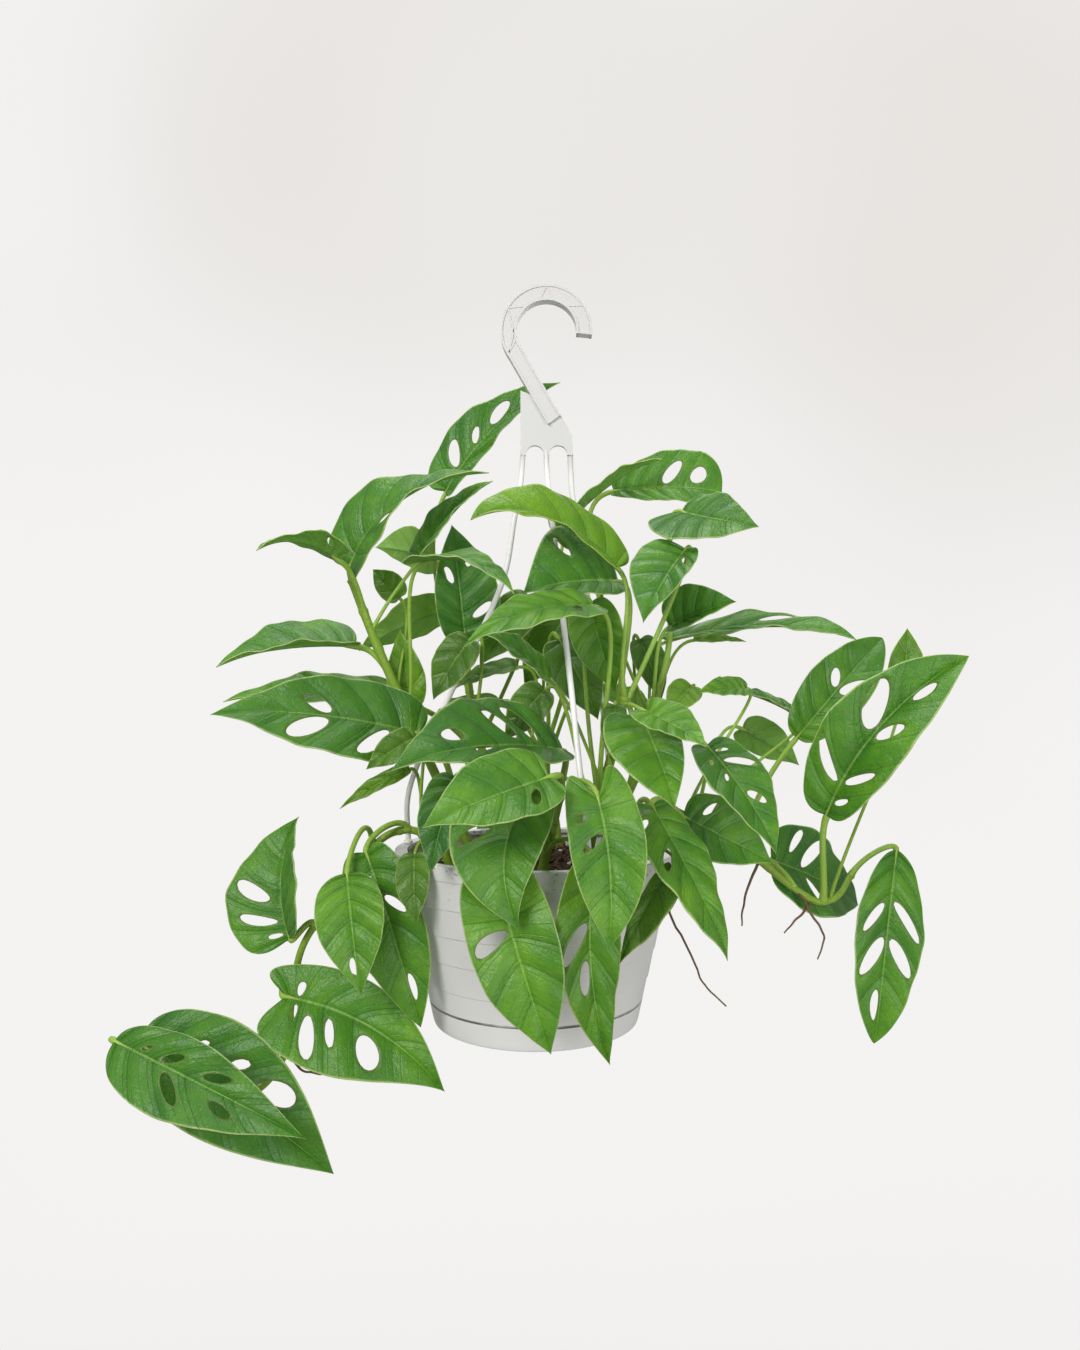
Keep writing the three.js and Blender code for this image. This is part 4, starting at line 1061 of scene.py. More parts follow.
@dataclass
class Hanger:
    """Hook, neck, plate and three strands in one moulding."""

    centre: tuple[float, float] = (6.1, 404.9)
    outer_radius: float = 27.0
    inner_radius: float = 17.7
    start_angle: float = -6.0
    end_angle: float = 216.0
    neck_end: tuple[float, float] = (10.7, 352.4)
    depth: float = 8.0
    web: float = 6.6
    arc_points: int = 76
    neck_points: int = 13
    web_margin: float = 0.3  # how far the sheet stays inside the band
    cap_margin: float = 0.2  # how far the cap of the open end stays inside it
    flange: float = 1.3
    rib: float = 0.9
    rib_depth: float = 7.5
    rib_margin: float = 0.8  # how far a rib's ends stay inside the band
    # Each rib: bearing about the centre at its inner end and at its outer end.
    ribs: tuple[tuple[float, float], ...] = (
        (50, 34), (78, 90), (102, 90), (130, 150), (196, 150), (170, 212), (196, 212)
    )
    plate_depth: float = 3.4
    plate_bottom: float = 332.0
    arches: tuple[tuple[float, float], ...] = ((-5.9, 4.6), (7.8, 18.4))
    arch_height: float = 5.7
    strand_radius: float = 1.65
    collar_radius: float = 2.7
    collar_height: float = 2.4
    pin_radius: float = 1.25
    barb_radius: float = 2.0
    barb_length: float = 3.4
    foot_circle: float = 77.8
    hole_radius: float = 1.75
    rim_height: float = 101.0
    lip_depth: float = 2.8

    def foot(self, strand: Strand, height: float) -> Point:
        """Where a strand meets the pot's lip, at a height."""
        angle = math.radians(strand.bearing)
        return self.foot_circle * math.sin(angle), -self.foot_circle * math.cos(angle), height

    def line(self) -> tuple[Array, Array]:
        """Middle of the hook's band: an arc about the centre, run on as a straight neck.

        Returns:
            Points and outward directions, as (n, 2) each.
        """
        angles = np.radians(np.linspace(self.start_angle, self.end_angle, self.arc_points))
        outward = np.stack([np.cos(angles), np.sin(angles)], axis=-1)
        points = np.array(self.centre) + outward * (self.outer_radius + self.inner_radius) / 2
        share = np.linspace(0, 1, self.neck_points + 1)[1:, None]
        neck = points[-1] + share * (np.array(self.neck_end) - points[-1])
        straight = np.repeat(outward[-1:], self.neck_points, axis=0)
        return np.vstack([points, neck]), np.vstack([outward, straight])

    def hook(self) -> list[Surface]:
        """Carry the hook's cross-section along its line.

        Returns:
            Two flanges, the sheet between them, the cap of the open end and the bracing ribs.
        """
        line, outward = self.line()
        half = (self.outer_radius - self.inner_radius) / 2
        web, cap = half - self.web_margin, half - self.cap_margin
        open_end = line[:2] + (line[1] - line[0]) * 0.1
        bars = [
            strip(line, outward, (half - self.flange, half), self.depth),
            strip(line, outward, (-half, self.flange - half), self.depth),
            strip(line, outward, (-web, web), self.web),
            strip(open_end, outward[:2], (-cap, cap), self.depth - self.cap_margin),
        ]
        for inner_angle, outer_angle in self.ribs:
            turns = np.radians([inner_angle, outer_angle])
            radii = np.array([self.inner_radius + self.rib_margin, self.outer_radius - self.rib_margin])
            ends = np.array(self.centre) + np.stack([np.cos(turns), np.sin(turns)], -1) * radii[:, None]
            along = unit(ends[1] - ends[0])
            across = np.array([[-along[1], along[0]]] * 2)
            bars.append(strip(ends, across, (-self.rib / 2, self.rib / 2), self.rib_depth))
        return bars

    def plate(self) -> Surface:
        """Outline the flat plate below the neck.

        Returns:
            The plate, with two arches between the strands' roots.
        """
        low = self.plate_bottom
        outline = [(-9.1, 370.0), (-9.1, low)]
        share = np.linspace(0, 1, 15)
        for left, right in self.arches:
            across = left + (right - left) * share**2 * (3 - 2 * share)
            outline += zip(across, low + 4 * share * (1 - share) * self.arch_height)
        outline += [(21.9, low), (21.4, 343.0), (16.4, 352.6), (10.0, 362.0)]
        return prism(np.array(outline), self.plate_depth)

    def strand(self, strand: Strand) -> list[Surface]:
        """Run one strand from the plate to the pot's lip.

        Args:
            strand: Its route and the bearing of its foot.

        Returns:
            The strand, and the collar that rests on the lip with the barb below it.
        """
        seat = self.rim_height + SEAT
        under = self.rim_height - self.lip_depth - SEAT
        collar_top = seat + self.collar_height
        path = spline((*strand.route, self.foot(strand, seat + 2.0)), 90)
        fitting = rounded(
            [
                (0, under - self.barb_length, 0),
                (0.8, under - self.barb_length, 0.3),
                (self.barb_radius, under, 0.2),
                (self.pin_radius, under, 0.1),
                (self.pin_radius, seat, 0.1),
                (self.collar_radius, seat, 0.3),
                (self.collar_radius, collar_top - 0.8, 0.4),
                (self.strand_radius, collar_top, 0.3),
                (0, collar_top, 0),
            ],
            3,
        )
        rope = tube(path, np.full(len(path), self.strand_radius), 14)
        return [rope, lathe(fitting, 24).moved(self.foot(strand, 0.0))]

    def build(self, plastic: Material) -> None:
        """Make the whole moulding as one piece.

        Args:
            plastic: The hanger's plastic.
        """
        solids = [*self.hook(), self.plate()]
        for strand in STRANDS:
            solids += self.strand(strand)
        piece = piece_of("hanger_moulded", joined(solids), plastic, ("hanger",))
        crease(piece, 40)


# ---------- Stems and leaves ----------

SIDE_VEINS = (0.0, 0.13, 0.29, 0.45, 0.61, 0.79, 1.0)  # shares of the margin where side veins end
SPROUT_VEINS = (0.0, 0.2, 0.46, 0.74, 1.0)


# A hole: side, place in vein counts, place across the half, reach across, reach in vein counts.
Hole = tuple[int, float, float, float, float]
ONE_HOLE: tuple[Hole, ...] = ((1, 2.5, 0.5, 0.24, 0.25),)
TWO_HOLES: tuple[Hole, ...] = ((1, 2.5, 0.5, 0.26, 0.28), (-1, 1.5, 0.5, 0.24, 0.25))


class Growth(enum.Enum):
    """How far a leaf has grown."""

    GROWN = "leaf_green"
    YOUNG = "leaf_lime"


@dataclass(frozen=True)
class Stem:
    """A stem or trailing vine: its radius, and its route from inside the soil outwards."""

    name: str
    radius: float
    route: Route


@dataclass(frozen=True)
class Leaf:
    """A leaf: its stem and place on it, the blade's base and tip, and which way its face looks."""

    name: str
    stem: str
    at: float
    base: Point
    tip: Point
    face: Point
    tip_face: Point | None = None
    width: float | None = None
    arch: float | None = None  # rise of the midrib
    bow: float = 0.0  # sideways bend of the midrib, towards the left half
    lobe: float = 1.8  # how far the margin swings back behind the petiole
    taper: float = 1.25  # how long drawn out the tip is
    skew: float = 0.0  # share by which the left half is wider than the mean, and the right narrower
    fold: float = 12.0  # angle of each half against the blade's plane, degrees
    lift: float = 0.4  # how steeply the petiole leaves its stem
    holes: tuple[Hole, ...] = TWO_HOLES
    tone: float = 0.0  # -1 deep bluish green, 1 young yellowish green
    growth: Growth = Growth.GROWN
    veins: tuple[float, ...] = SIDE_VEINS
    rows: int = 72
    columns: int = 17

    @property
    def length(self) -> float:
        """Distance from the base to the tip."""
        return math.dist(self.base, self.tip)


@dataclass(frozen=True)
class Sprout(Leaf):
    """A small or rearward leaf that is one growth with its stem."""

    holes: tuple[Hole, ...] = ()
    veins: tuple[float, ...] = SPROUT_VEINS
    rows: int = 44
    columns: int = 10


STEMS: tuple[Stem, ...] = (
    Stem("stem_left", 3.1, (
        (-32, 6, 72), (-38, 6, 95), (-59, 3, 142), (-80, 1, 188), (-97, -1, 228), (-108, -4, 258))),
    Stem("stem_back_left", 2.9, (
        (-16, 30, 72), (-18, 32, 96), (-30, 37, 140), (-40, 39, 182), (-45, 38, 212))),
    Stem("stem_centre", 3.2, (
        (26, -14, 72), (29, -16, 95), (37, -22, 132), (45, -27, 166), (50, -30, 190))),
    Stem("stem_right", 3, (
        (44, 16, 72), (47, 15, 95), (56, 12, 132), (65, 8, 166), (70, 6, 186))),
    Stem("stem_front", 3, (
        (3, -40, 72), (4, -43, 95), (8, -47, 114), (13, -51, 136))),
    Stem("stem_edge", 2.6, (
        (-44, -32, 72), (-48, -34, 95), (-54, -38, 112), (-62, -42, 122))),
    Stem("stem_rear", 2.8, (
        (14, 44, 72), (14, 47, 95), (10, 53, 124), (4, 58, 150))),
    Stem("vine_right", 2.3, (
        (42, -36, 74), (46, -37, 95), (54, -37, 118), (65, -35, 131), (81, -30, 125), (97, -25, 115),
        (128, -18, 96), (148, -15, 80), (164, -12, 71), (176, -6, 73), (188, 8, 82))),
    Stem("vine_left", 2.3, (
        (-58, -14, 76), (-60, -15, 95), (-67, -17, 112), (-82, -18, 112), (-97, -18, 100),
        (-118, -16, 71), (-135, -13, 45), (-142, -10, 12), (-146, -8, -18), (-162, -14, -38),
        (-192, -30, -34), (-224, -40, -14))),
)

LEAVES: tuple[Leaf, ...] = (
    Leaf("leaf_left_top", "stem_left", 1, (-109, -6, 265), (-27, -25, 320), (-5, -8, 2),
         tip_face=(0, -1, 9), width=46, arch=14, bow=7, skew=0.2, holes=((-1, 3.38, 0.72, 0.16, 0.16),),
         tone=-0.1),
    Leaf("leaf_left_far", "stem_left", 0.84, (-111, -27, 268), (-149, -62, 270), (0, 1, 9),
         width=36, arch=7, skew=-0.1, holes=ONE_HOLE, tone=0.2),
    Leaf("leaf_left_behind", "stem_back_left", 1, (-65, 42, 276), (-104, 62, 286), (0, 7, 5),
         width=34, holes=(), tone=0.4, growth=Growth.YOUNG),
    Leaf("leaf_left_spear", "stem_left", 0.8, (-70, -2, 270), (-26, -8, 317), (-3, -4, 5),
         width=27, fold=20, holes=(), tone=0.2),
    Leaf("leaf_back_dark", "stem_back_left", 0.72, (-43, 17, 224), (-52, 26, 296), (1, -9, 1),
         width=40, skew=-0.2,
         holes=((1, 4.31, 0.5, 0.24, 0.24), (-1, 2.53, 0.51, 0.26, 0.24), (-1, 4.73, 0.6, 0.2, 0.2)),
         tone=-0.5),
    Leaf("leaf_mid_flat", "stem_left", 0.55, (-62, -34, 266), (-10, -74, 246), (0, -2, 9),
         width=28, arch=8, lobe=4, holes=ONE_HOLE, tone=0.2),
    Leaf("leaf_back_lime", "stem_back_left", 0.78, (-57, 48, 244), (-110, 26, 218), (0, 7, 6),
         width=32, holes=(), tone=0.2, growth=Growth.YOUNG),
    Leaf("leaf_left_wing", "stem_left", 0.48, (-106, -2, 220), (-181, -28, 209), (0, -2, 9),
         width=44, arch=4, skew=-0.4, fold=20, holes=()),
    Leaf("leaf_left_long_back", "stem_back_left", 0.5, (-83, 21, 186), (-189, 12, 189), (0, -4, 8),
         width=44, arch=4, holes=((-1, 3.41, 0.24, 0.12, 0.16), (-1, 4.39, 0.51, 0.24, 0.3)), tone=0.2),
    Leaf("leaf_left_long", "stem_left", 0.2, (-66, -22, 169), (-174, -58, 183), (0, -8, 5),
         width=52, arch=2, bow=-4, fold=6,
         holes=((1, 2.53, 0.49, 0.36, 0.3), (1, 4.37, 0.48, 0.4, 0.3), (-1, 4.29, 0.34, 0.26, 0.22)),
         tone=-0.3),
    Leaf("leaf_front_wide", "stem_front", 1, (15, -42, 161), (-72, -100, 157), (0, -6, 8),
         width=60, arch=8, lobe=1, skew=-0.15, fold=16,
         holes=((1, 4.36, 0.29, 0.2, 0.2), (-1, 2.53, 0.42, 0.34, 0.3), (-1, 3.34, 0.42, 0.3, 0.26),
                (-1, 4.73, 0.45, 0.2, 0.2)), tone=-0.4),
    Leaf("leaf_front_tongue", "stem_front", 0.78, (7, -100, 152), (-52, -136, 133), (-1, -8, 6),
         width=44, arch=2, holes=ONE_HOLE, tone=0.1),
    Leaf("leaf_left_hang", "stem_edge", 0.8, (-42, -62, 148), (-54, -84, 101), (-2, -9, 2),
         width=28, holes=(), tone=-0.5),
    Leaf("leaf_front_hang_left", "stem_front", 0.7, (-1, -84, 144), (-8, -112, 79), (-1, -9, 3),
         width=50, arch=6, bow=-10, skew=-0.2, holes=((-1, 3.53, 0.62, 0.26, 0.2),), tone=0.2),
    Leaf("leaf_pot_front_left", "stem_front", 0.58, (-16, -96, 88), (8, -102, 14), (-1, -9, 2),
         width=46, arch=4, lobe=6, holes=((1, 1.59, 0.24, 0.16, 0.14), (-1, 2.67, 0.48, 0.4, 0.26)),
         tone=0.3),
    Leaf("leaf_pot_front_right", "stem_front", 0.46, (30, -88, 105), (39, -88, 3), (2, -9, 1),
         width=34, bow=-8, skew=-0.1, holes=((-1, 3.33, 0.48, 0.4, 0.26), (-1, 4.37, 0.32, 0.24, 0.3)),
         tone=-0.6, growth=Growth.YOUNG),
    Leaf("leaf_front_hang_right", "stem_front", 0.88, (31, -98, 142), (35, -124, 73), (0, -9, 3),
         width=38, bow=3, lobe=5, taper=1.05,
         holes=((-1, 2.28, 0.6, 0.16, 0.14), (-1, 3.34, 0.38, 0.3, 0.2)), tone=0.25),
    Leaf("leaf_rim_right", "vine_right", 0.2, (61, -72, 134), (98, -96, 60), (4, -6, 5),
         width=40, bow=-3, skew=-0.25, holes=((-1, 1.79, 0.68, 0.2, 0.14), (-1, 3.27, 0.54, 0.24, 0.2)),
         tone=0.3),
    Leaf("leaf_heart_top", "stem_centre", 0.77, (57, -82, 184), (84, -108, 168), (-2, -4, 9),
         width=26, arch=1, lobe=4, holes=(), tone=0.5),
    Leaf("leaf_heart_hang", "stem_centre", 0.7, (57, -64, 179), (69, -104, 137), (1, -9, 2),
         width=40, lobe=3, skew=-0.3, lift=0.2, holes=(), tone=0.2),
    Leaf("leaf_right_pierced", "stem_right", 0.4, (91, -62, 165), (122, -94, 113), (3, -8, 5),
         width=36,
         holes=((1, 1.79, 0.28, 0.2, 0.14), (1, 2.71, 0.48, 0.4, 0.22), (1, 4.47, 0.38, 0.3, 0.2),
                (-1, 2.34, 0.41, 0.14, 0.14), (-1, 3.44, 0.31, 0.14, 0.14)), tone=-0.3),
    Leaf("leaf_right_big", "vine_right", 0.82, (165, -24, 123), (238, -44, 214), (-6, -8, 1),
         width=56, arch=8, bow=8, lobe=1, taper=0.95, skew=-0.05, fold=30,
         holes=((1, 2.62, 0.48, 0.4, 0.2), (1, 4.41, 0.48, 0.4, 0.34), (-1, 1.75, 0.31, 0.2, 0.18),
                (-1, 2.73, 0.4, 0.3, 0.2), (-1, 4.27, 0.36, 0.26, 0.2), (-1, 5.25, 0.32, 0.24, 0.18)),
         tone=0.12),
    Leaf("leaf_right_big_back", "vine_right", 0.56, (156, 8, 165), (211, 18, 226), (-3, -9, 1),
         width=38, arch=3, lobe=1, taper=0.8,
         holes=((1, 4.39, 0.32, 0.24, 0.2), (-1, 4.37, 0.48, 0.4, 0.3))),
    Leaf("leaf_right_long", "stem_right", 0.78, (82, 37, 224), (188, -4, 226), (0, -3, 9),
         tip_face=(0, -5, 7), width=24, arch=5, bow=9, taper=0.9, skew=0.3,
         holes=((1, 4.37, 0.58, 0.3, 0.3),)),
    Leaf("leaf_right_hood", "stem_right", 0.78, (78, -8, 231), (112, -32, 244), (0, -8, 4),
         width=28, skew=0.3, fold=30, holes=(), tone=-0.1),
    Leaf("leaf_right_shield", "stem_centre", 0.92, (84, -32, 273), (57, -60, 231), (-3, -8, 4),
         width=34, skew=-0.3, holes=ONE_HOLE, tone=-0.1),
    Leaf("leaf_right_top_round", "stem_right", 1, (86, 0, 299), (124, -36, 286), (0, -8, 5),
         width=52, arch=2, bow=-3, lobe=2, skew=-0.3, fold=15, holes=(), tone=-0.3),
    Leaf("leaf_top_right", "stem_right", 0.68, (49, 44, 319), (115, 28, 316), (0, -9, 4),
         width=38, bow=0, taper=0.4, skew=0.35,
         holes=((1, 4.35, 0.38, 0.3, 0.28), (1, 5.29, 0.38, 0.24, 0.22))),
    Leaf("leaf_top_right_edge", "stem_right", 0.58, (27, 20, 304), (76, 12, 334), (-2, 0, 9),
         width=26, holes=ONE_HOLE, tone=0.1),
    Leaf("leaf_crown_lime", "stem_centre", 1, (46, -38, 262), (-35, -62, 287), (0, -6, 8),
         width=32, arch=12, bow=-7, taper=0.9, skew=-0.3, fold=20, holes=(), tone=0.2,
         growth=Growth.YOUNG),
    Leaf("leaf_crown_under", "stem_centre", 0.84, (47, -20, 256), (-7, -48, 248), (0, -8, 6),
         width=54, skew=-0.45, holes=((-1, 3.73, 0.68, 0.2, 0.2),), tone=-0.1),
    Leaf("leaf_centre_light", "stem_centre", 0.5, (31, -53, 240), (-37, -88, 218), (0, -6, 8),
         width=34, arch=8, skew=0.2, holes=ONE_HOLE, tone=0.4),
    Leaf("leaf_centre_pale", "stem_centre", 0.48, (31, -8, 244), (46, -14, 192), (-2, -9, 1),
         width=32, holes=(), tone=0.5),
    Leaf("leaf_centre_brown", "stem_centre", 0.42, (8, -40, 200), (-26, -66, 225), (-2, -6, 7),
         width=26, holes=(), tone=0.3),
    Leaf("leaf_right_cup", "vine_right", 0.42, (124, -4, 195), (91, -30, 193), (-2, -8, 4),
         width=15, holes=(), tone=0.5),
    Leaf("leaf_right_low_edge", "vine_right", 0.5, (158, 28, 180), (119, 34, 193), (0, -2, 9),
         width=20, holes=(), tone=0.1),
    Leaf("leaf_right_pale", "vine_right", 0.46, (126, 22, 170), (163, 30, 147), (2, 8, 3),
         width=26, holes=(), tone=0.3),
    Leaf("leaf_right_under", "vine_right", 0.3, (82, -36, 124), (130, -46, 100), (0, -8, 6),
         width=42, arch=0, holes=ONE_HOLE, tone=-0.2),
    Leaf("leaf_right_fan", "vine_right", 0.7, (139, 0, 93), (206, 44, 57), (1, -8, 5),
         width=56,
         holes=((1, 2.27, 0.58, 0.3, 0.2), (1, 3.37, 0.48, 0.4, 0.3), (-1, 3.5, 0.46, 0.3, 0.2)),
         tone=-0.5),
    Leaf("leaf_right_end", "vine_right", 1, (215, 6, 98), (198, -8, -14), (0, -9, 1),
         width=40, arch=8, bow=-3, lobe=0.3, taper=0.85,
         holes=((1, 3.29, 0.48, 0.4, 0.22), (1, 4.31, 0.48, 0.4, 0.22), (-1, 3.29, 0.5, 0.3, 0.22),
                (-1, 4.33, 0.48, 0.4, 0.26), (-1, 5.36, 0.37, 0.24, 0.24)), tone=0.1),
    Leaf("leaf_left_up", "vine_left", 0.5, (-142, -14, 50), (-146, 20, 117), (-5, -8, 1),
         width=66, bow=5, fold=30,
         holes=((1, 1.5, 0.22, 0.14, 0.2), (1, 2.5, 0.42, 0.32, 0.24), (1, 3.6, 0.54, 0.34, 0.28))),
    Leaf("leaf_left_rim_light", "vine_left", 0.34, (-102, -52, 95), (-91, -72, 35), (0, -9, 2),
         width=38, lobe=0.7, lift=0.8, holes=((-1, 5.32, 0.32, 0.24, 0.24),), tone=0.4),
    Leaf("leaf_left_rim_dark", "vine_left", 0.22, (-94, -38, 104), (-63, -48, 9), (-1, -9, 1),
         width=42, bow=3, taper=1.05,
         holes=((1, 3.27, 0.34, 0.26, 0.2), (1, 5.29, 0.32, 0.24, 0.22), (-1, 2.34, 0.22, 0.14, 0.16)),
         tone=0.1),
    Leaf("leaf_left_low", "vine_left", 0.6, (-140, -34, 23), (-49, -52, -23), (0, -9, 5),
         width=56, arch=2, bow=9, lobe=3.4, taper=1.2, skew=-0.24,
         holes=((1, 1.77, 0.28, 0.2, 0.16), (-1, 1.77, 0.24, 0.14, 0.14), (-1, 2.44, 0.55, 0.33, 0.26),
                (-1, 3.23, 0.39, 0.22, 0.16), (-1, 4.37, 0.52, 0.3, 0.3)), tone=0),
    Leaf("leaf_left_end_back", "vine_left", 0.84, (-218, -44, 0), (-105, -74, -57), (0, -8, 5),
         width=60, arch=3, bow=3, lobe=1, taper=1.1, skew=0.14,
         holes=((1, 2.81, 0.43, 0.1, 0.12), (1, 3.79, 0.53, 0.12, 0.14), (1, 4.63, 0.62, 0.26, 0.3)),
         tone=-0.4),
    Leaf("leaf_left_end", "vine_left", 1, (-221, -68, 10), (-113, -104, -25), (0, -8, 6),
         width=42, arch=1, bow=0, lobe=0.6, taper=1.25, skew=-0.15,
         holes=((1, 2.41, 0.2, 0.12, 0.12), (1, 3.27, 0.28, 0.2, 0.2), (1, 4.31, 0.45, 0.24, 0.2),
                (-1, 3.47, 0.42, 0.3, 0.22), (-1, 4.64, 0.51, 0.2, 0.2)), tone=-0.2),
    Leaf("leaf_top_back", "stem_back_left", 0.88, (-56, 30, 316), (14, 22, 383), (-3, -8, 3),
         width=31, arch=2, bow=7, skew=0.4,
         holes=((1, 2.63, 0.38, 0.3, 0.3), (1, 3.77, 0.28, 0.2, 0.16), (1, 4.63, 0.38, 0.3, 0.3)),
         tone=-0.4),
)

SPROUTS: tuple[Sprout, ...] = (
    Sprout("young_roll", "stem_left", 0.4, (-75, 10, 184), (-82, 10, 230), (-1, -9, 0),
           width=24, arch=0, tone=0.6),
    Sprout("small_tip", "stem_left", 0.62, (-82, 12, 249), (-98, 10, 266), (-2, -7, 5),
           width=18, tone=0.1),
    Sprout("small_dark", "stem_edge", 1, (-65, -50, 169), (-91, -58, 152), (-1, -9, 3),
           width=18, tone=-0.3),
    Sprout("small_narrow", "stem_edge", 0.9, (-71, -34, 150), (-110, -34, 128), (0, -8, 5),
           width=10, tone=0.4),
    Sprout("small_rim", "stem_edge", 0.7, (-65, -56, 106), (-63, -66, 71), (-2, -9, 1),
           width=20, tone=-0.3),
    Sprout("small_fold", "vine_right", 0.1, (70, -82, 104), (42, -88, 56), (-5, -7, 2),
           width=20, skew=0.4),
    Sprout("small_edge", "vine_right", 0.85, (225, 24, 193), (230, 30, 232), (-1, -9, 1), width=22),
    Sprout("small_thin", "stem_right", 0.63, (96, 15, 224), (128, 17, 223), (0, -8, 5), width=6),
    Sprout("small_lime", "stem_right", 0.5, (91, -7, 196), (75, -22, 180), (-1, -8, 4),
           width=20, tone=0.8),
    # The sprouts deep in the crown, from small_inner to inner_gap, have the deepest tones: painted shade
    # inside the canopy.
    Sprout("small_inner", "stem_centre", 0.7, (43, -52, 186), (41, -61, 154), (-1, -9, 1),
           width=15, tone=-0.6),
    Sprout("inner_dark", "stem_back_left", 0.62, (-3, 31, 249), (-36, 34, 208), (-2, -8, 3),
           width=32, tone=-0.8),
    Sprout("inner_low", "stem_back_left", 0.3, (-11, 21, 208), (-53, 18, 193), (0, -4, 8),
           width=20, tone=-0.6),
    Sprout("inner_back", "stem_rear", 0.85, (14, 14, 224), (38, 14, 175), (1, -9, 2),
           width=34, tone=-0.9),
    Sprout("inner_left", "stem_left", 0.3, (-38, -12, 223), (-60, -12, 188), (-2, -8, 3),
           width=26, tone=-0.7),
    Sprout("inner_mid", "stem_centre", 0.55, (5, -20, 194), (-18, -20, 165), (-1, -8, 3),
           width=24, tone=-0.7),
    Sprout("inner_right", "stem_right", 0.55, (63, 20, 224), (77, 20, 187), (2, -8, 2),
           width=22, tone=-0.8),
    Sprout("crown_back", "stem_right", 0.9, (25, 2, 280), (7, 2, 309), (-2, -8, 2),
           width=20, tone=-0.5),
    Sprout("inner_gap", "stem_rear", 1, (24, 42, 248), (-8, 42, 194), (-1, -9, 2), width=38, tone=-1),
    Sprout("rear_left", "stem_rear", 1, (-24, 66, 186), (-78, 104, 160), (-3, 5, 8),
           rows=60, columns=14),
    Sprout("rear_right", "stem_rear", 0.9, (30, 72, 190), (84, 112, 176), (2, 5, 8),
           holes=ONE_HOLE, veins=SIDE_VEINS, rows=60, columns=14, tone=-0.2),
    Sprout("rear_high", "stem_rear", 1, (4, 78, 226), (-2, 136, 232), (0, 0, 9),
           rows=60, columns=14, tone=0.2),
    Sprout("rear_hang_left", "stem_rear", 0.7, (-18, 96, 118), (-30, 112, 36), (-1, 9, 2),
           holes=ONE_HOLE, veins=SIDE_VEINS, rows=60, columns=14, tone=-0.1),
    Sprout("rear_hang_right", "stem_rear", 0.7, (34, 94, 116), (52, 108, 38), (1, 9, 2),
           rows=60, columns=14, tone=0.1),
)

# Aerial roots: a vine, and the route of each root away from it.
ROOTS: tuple[tuple[str, Route], ...] = (
    ("vine_right", ((128, -18, 96), (122, -22, 84), (118, -24, 70), (117, -24, 60))),
    ("vine_right", ((150, -15, 79), (158, -18, 66), (165, -20, 52), (161, -20, 40))),
    ("vine_right", ((160, -13, 72), (150, -20, 64), (141, -24, 56))),
    ("vine_right", ((72, -34, 127), (74, -44, 114), (74, -55, 96), (71, -61, 78), (83, -62, 53),
                    (89, -63, 39), (101, -64, 27))),
    ("vine_left", ((-146, -9, -15), (-134, -10, -28), (-118, -10, -30))),
)


@dataclass(frozen=True)
class BladeHabit:
    """What every blade shares."""

    width_share: float = 0.46
    arch_share: float = 0.06
    wave: float = 0.016
    ruffle: float = 0.007  # height of the margin's small waves, over the blade's length
    curl: float = 0.03  # how far the tip bends down, over the blade's length
    tip_start: float = 0.8  # share of the margin from which the tip bends
    thickness: float = 0.5
    rib_height: float = 1.0
    rib_reach: float = 1.1  # how far the rib below the midrib spreads, in millimetres
    quilting: float = 0.012  # rise of the blade between two side veins, over its length
    channel: float = 0.5  # depth of the groove over the midrib
    channel_reach: float = 1.2
    even_share: float = 0.45  # how evenly the rows stand; the rest gathers them at base and tip


@dataclass(frozen=True)
class PetioleHabit:
    """What every petiole shares."""

    foot_radius: float = 2.6
    radius: float = 1.6
    neck_radius: float = 1.8
    sides: int = 10
    steps: int = 26
    sink: float = 0.09  # share of the midrib that the stalk's end follows
    hang: float = 0.9  # how far it lies below the midrib there
    # Where the last points lie on that share, and the share of the neck's radius there.
    end_places: tuple[float, ...] = (0.35, 0.7, 1.0)
    end_radii: tuple[float, ...] = (0.8, 0.6, 0.35)
    usual_width: float = 40.0  # of a blade whose stalk has just these radii


